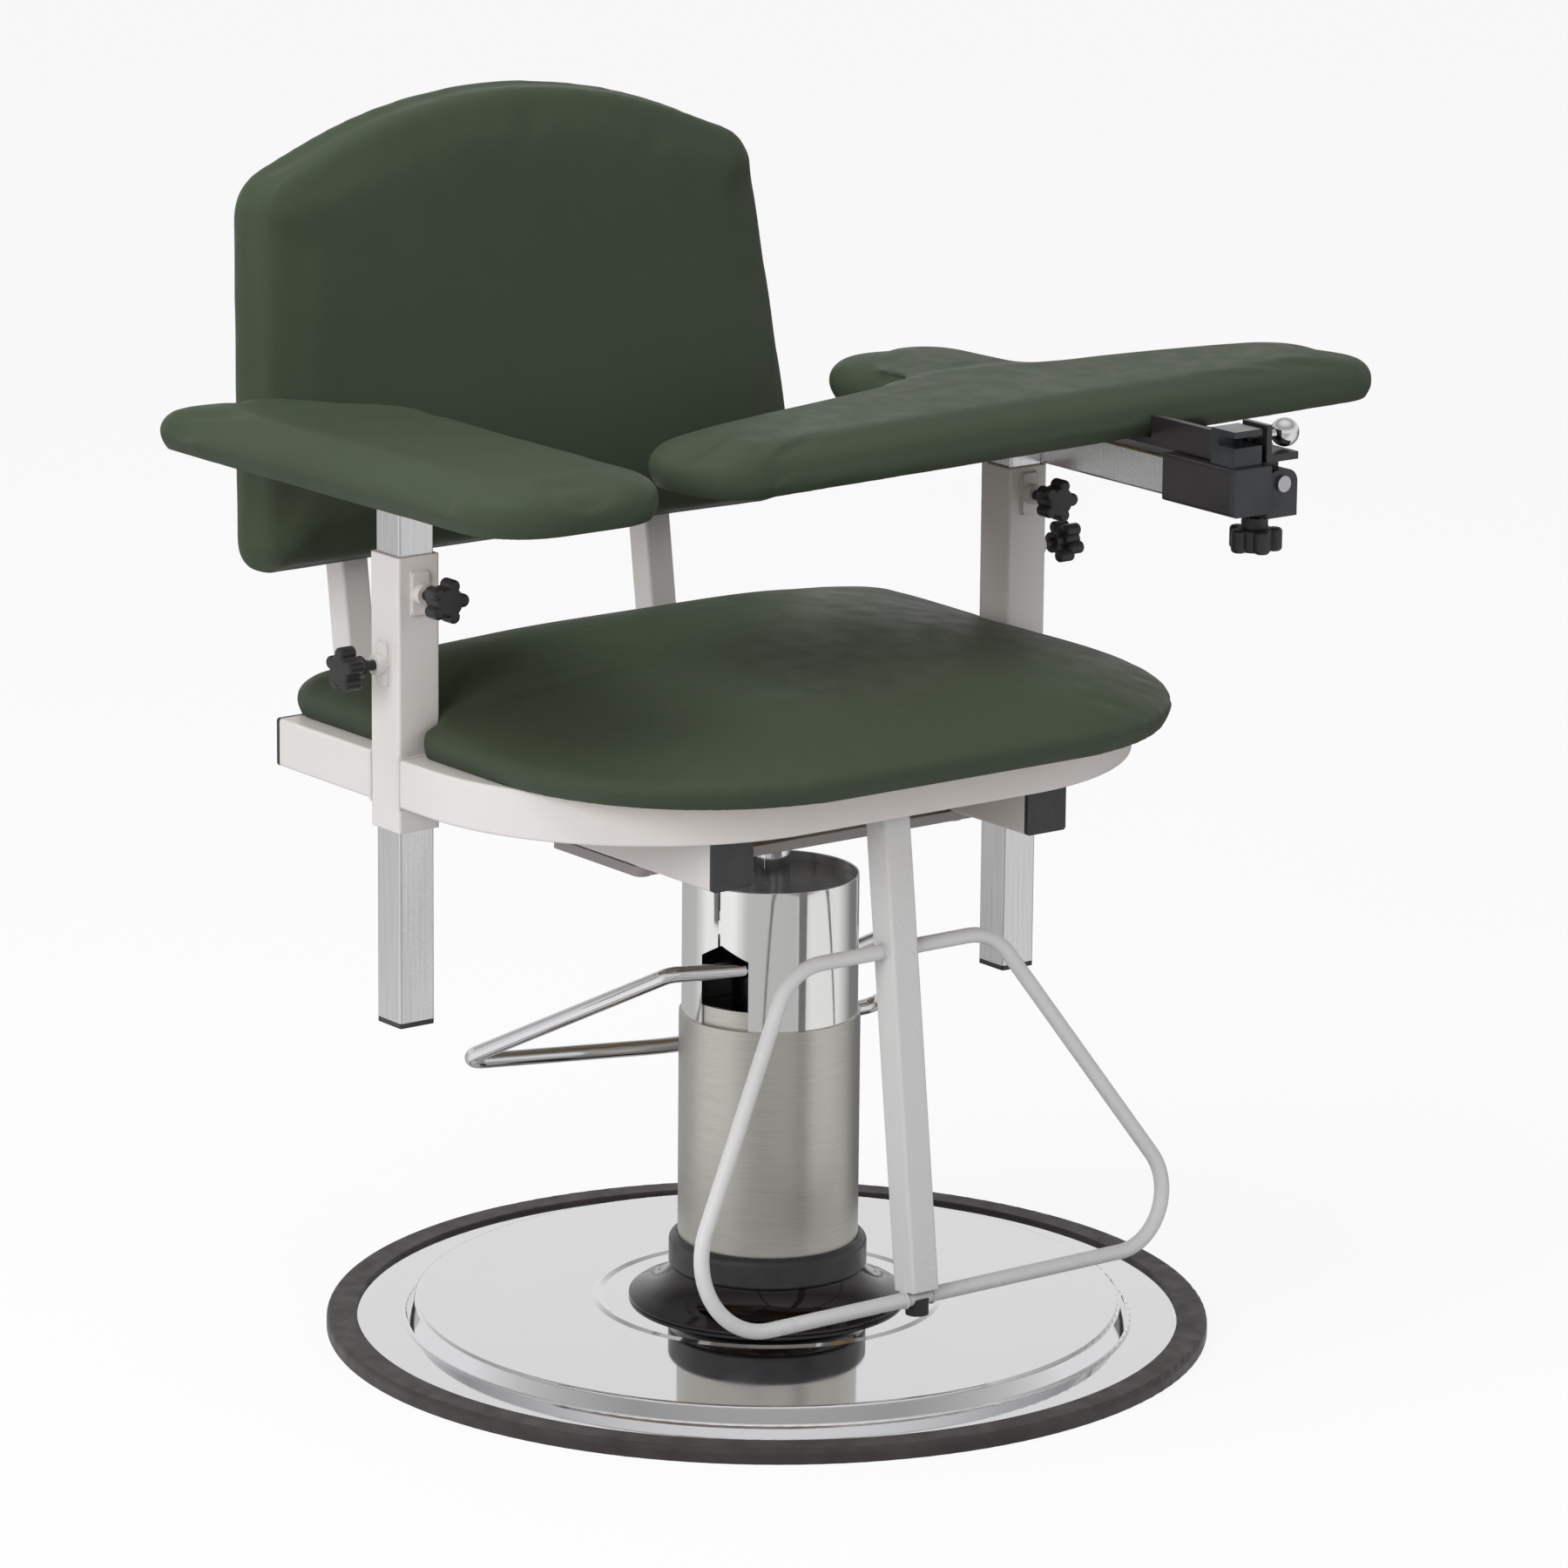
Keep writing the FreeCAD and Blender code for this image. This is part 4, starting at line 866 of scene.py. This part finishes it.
def round_the_studio(tree, vector):
    """The bands as a colour, from a place on the floor."""
    turned = node_in(tree, "ShaderNodeVectorRotate", rotation_type="Z_AXIS", Angle=studio_turn)
    tree.links.new(vector, turned.inputs["Vector"])
    split = node_in(tree, "ShaderNodeSeparateXYZ")
    tree.links.new(turned.outputs[0], split.inputs[0])
    angle = node_in(tree, "ShaderNodeMath", operation="ARCTAN2")
    tree.links.new(split.outputs["Y"], angle.inputs[0])
    tree.links.new(split.outputs["X"], angle.inputs[1])
    share = node_in(tree, "ShaderNodeMapRange")
    share.inputs["From Min"].default_value = -math.pi
    share.inputs["From Max"].default_value = math.pi
    tree.links.new(angle.outputs[0], share.inputs["Value"])
    return grey_ramp(tree, share.outputs["Result"], studio_bands)


def mixed_for_rays(mat, ray, share, below, above):
    """A Mix Shader that shows above by a share, to one kind of ray only."""
    seen = add_node(mat, "ShaderNodeMath", operation="MULTIPLY")
    seen.inputs[1].default_value = share
    link(mat, ray, seen.inputs[0])
    blend = add_node(mat, "ShaderNodeMixShader")
    link(mat, seen.outputs[0], blend.inputs[0])
    link(mat, below.outputs[0], blend.inputs[1])
    link(mat, above.outputs[0], blend.inputs[2])
    return blend


def stage():
    """A pale floor: white to the camera, with the studio's bands in what shines."""
    mesh = bpy.data.meshes.new("floor")
    half = floor_half
    mesh.from_pydata([(-half, -half, 0), (half, -half, 0), (half, half, 0), (-half, half, 0)],
                     [], [(0, 1, 2, 3)])
    floor = linked_piece("floor", mesh)
    mat, shader = blank_material("floor_pale", floor_grey, roughness=0.6)
    shader.inputs["Specular IOR Level"].default_value = 0.1
    path = add_node(mat, "ShaderNodeLightPath")
    glow = add_node(mat, "ShaderNodeEmission", Color=white)
    to_camera = mixed_for_rays(mat, path.outputs["Is Camera Ray"], floor_white_share, shader, glow)
    place = add_node(mat, "ShaderNodeTexCoord")
    bands = add_node(mat, "ShaderNodeEmission")
    link(mat, round_the_studio(mat.node_tree, place.outputs["Object"]), bands.inputs["Color"])
    blend = mixed_for_rays(mat, path.outputs["Is Glossy Ray"], floor_bands_share, to_camera, bands)
    link(mat, blend.outputs[0], mat.node_tree.nodes["Material Output"].inputs["Surface"])
    mesh.materials.append(mat)


def world():
    """White to the camera, a soft grey room to matt surfaces, a lit room to shiny ones."""
    sky = bpy.data.worlds.new("studio")
    sky.use_nodes = True
    tree = sky.node_tree
    background = tree.nodes["Background"]
    path = node_in(tree, "ShaderNodeLightPath")
    place = node_in(tree, "ShaderNodeTexCoord")
    split = node_in(tree, "ShaderNodeSeparateXYZ")
    tree.links.new(place.outputs["Generated"], split.inputs[0])
    height = grey_ramp(tree, split.outputs["Z"], room_heights)
    glossy = node_in(tree, "ShaderNodeMix", data_type="RGBA")
    tree.links.new(path.outputs["Is Glossy Ray"], glossy.inputs[0])
    glossy.inputs[mix_first].default_value = room_grey
    tree.links.new(height, glossy.inputs[mix_second])
    mix = node_in(tree, "ShaderNodeMix", data_type="RGBA")
    tree.links.new(path.outputs["Is Camera Ray"], mix.inputs[0])
    tree.links.new(glossy.outputs[mix_result], mix.inputs[mix_first])
    mix.inputs[mix_second].default_value = white
    tree.links.new(mix.outputs[mix_result], background.inputs["Color"])
    background.inputs["Strength"].default_value = 1.0
    bpy.context.scene.world = sky


light_target = Vector((0, 0, 0.6))


def softbox(name, place, side, power):
    """A square area light that shines at the chair and doesn't show in what shines."""
    light = bpy.data.lights.new(name, "AREA")
    light.shape = "RECTANGLE"
    light.size = light.size_y = side
    light.energy = power
    lamp = bpy.data.objects.new(name, light)
    lamp.location = place
    lamp.rotation_euler = (light_target - Vector(place)).to_track_quat("-Z", "Y").to_euler()
    lamp.visible_glossy = False
    bpy.context.scene.collection.objects.link(lamp)


def camera():
    data = bpy.data.cameras.new("camera")
    data.lens = camera_lens
    data.sensor_width = camera_sensor
    data.sensor_fit = "HORIZONTAL"
    data.clip_end = camera_reach
    eye = linked_piece("camera", data)
    back = camera_right.cross(camera_up)
    turn = Matrix((camera_right, camera_up, back)).transposed().to_4x4()
    eye.matrix_world = Matrix.Translation(camera_place) @ turn
    bpy.context.scene.camera = eye


dress_nodes()
seat_cushion()
back_cushion()
left_pad_cushion()
right_pad_cushion()
frame_welds()
footrest_welds()
arm_welds()
stage()
world()
softbox("key", place=(-3.5, -1.3, 2.1), side=2.0, power=88)
softbox("fill", place=(1.8, -3.4, 1.9), side=1.8, power=24)
softbox("top", place=(-0.9, 0.5, 3.6), side=2.2, power=84)
camera()
bpy.context.scene.view_settings.view_transform = "Standard"
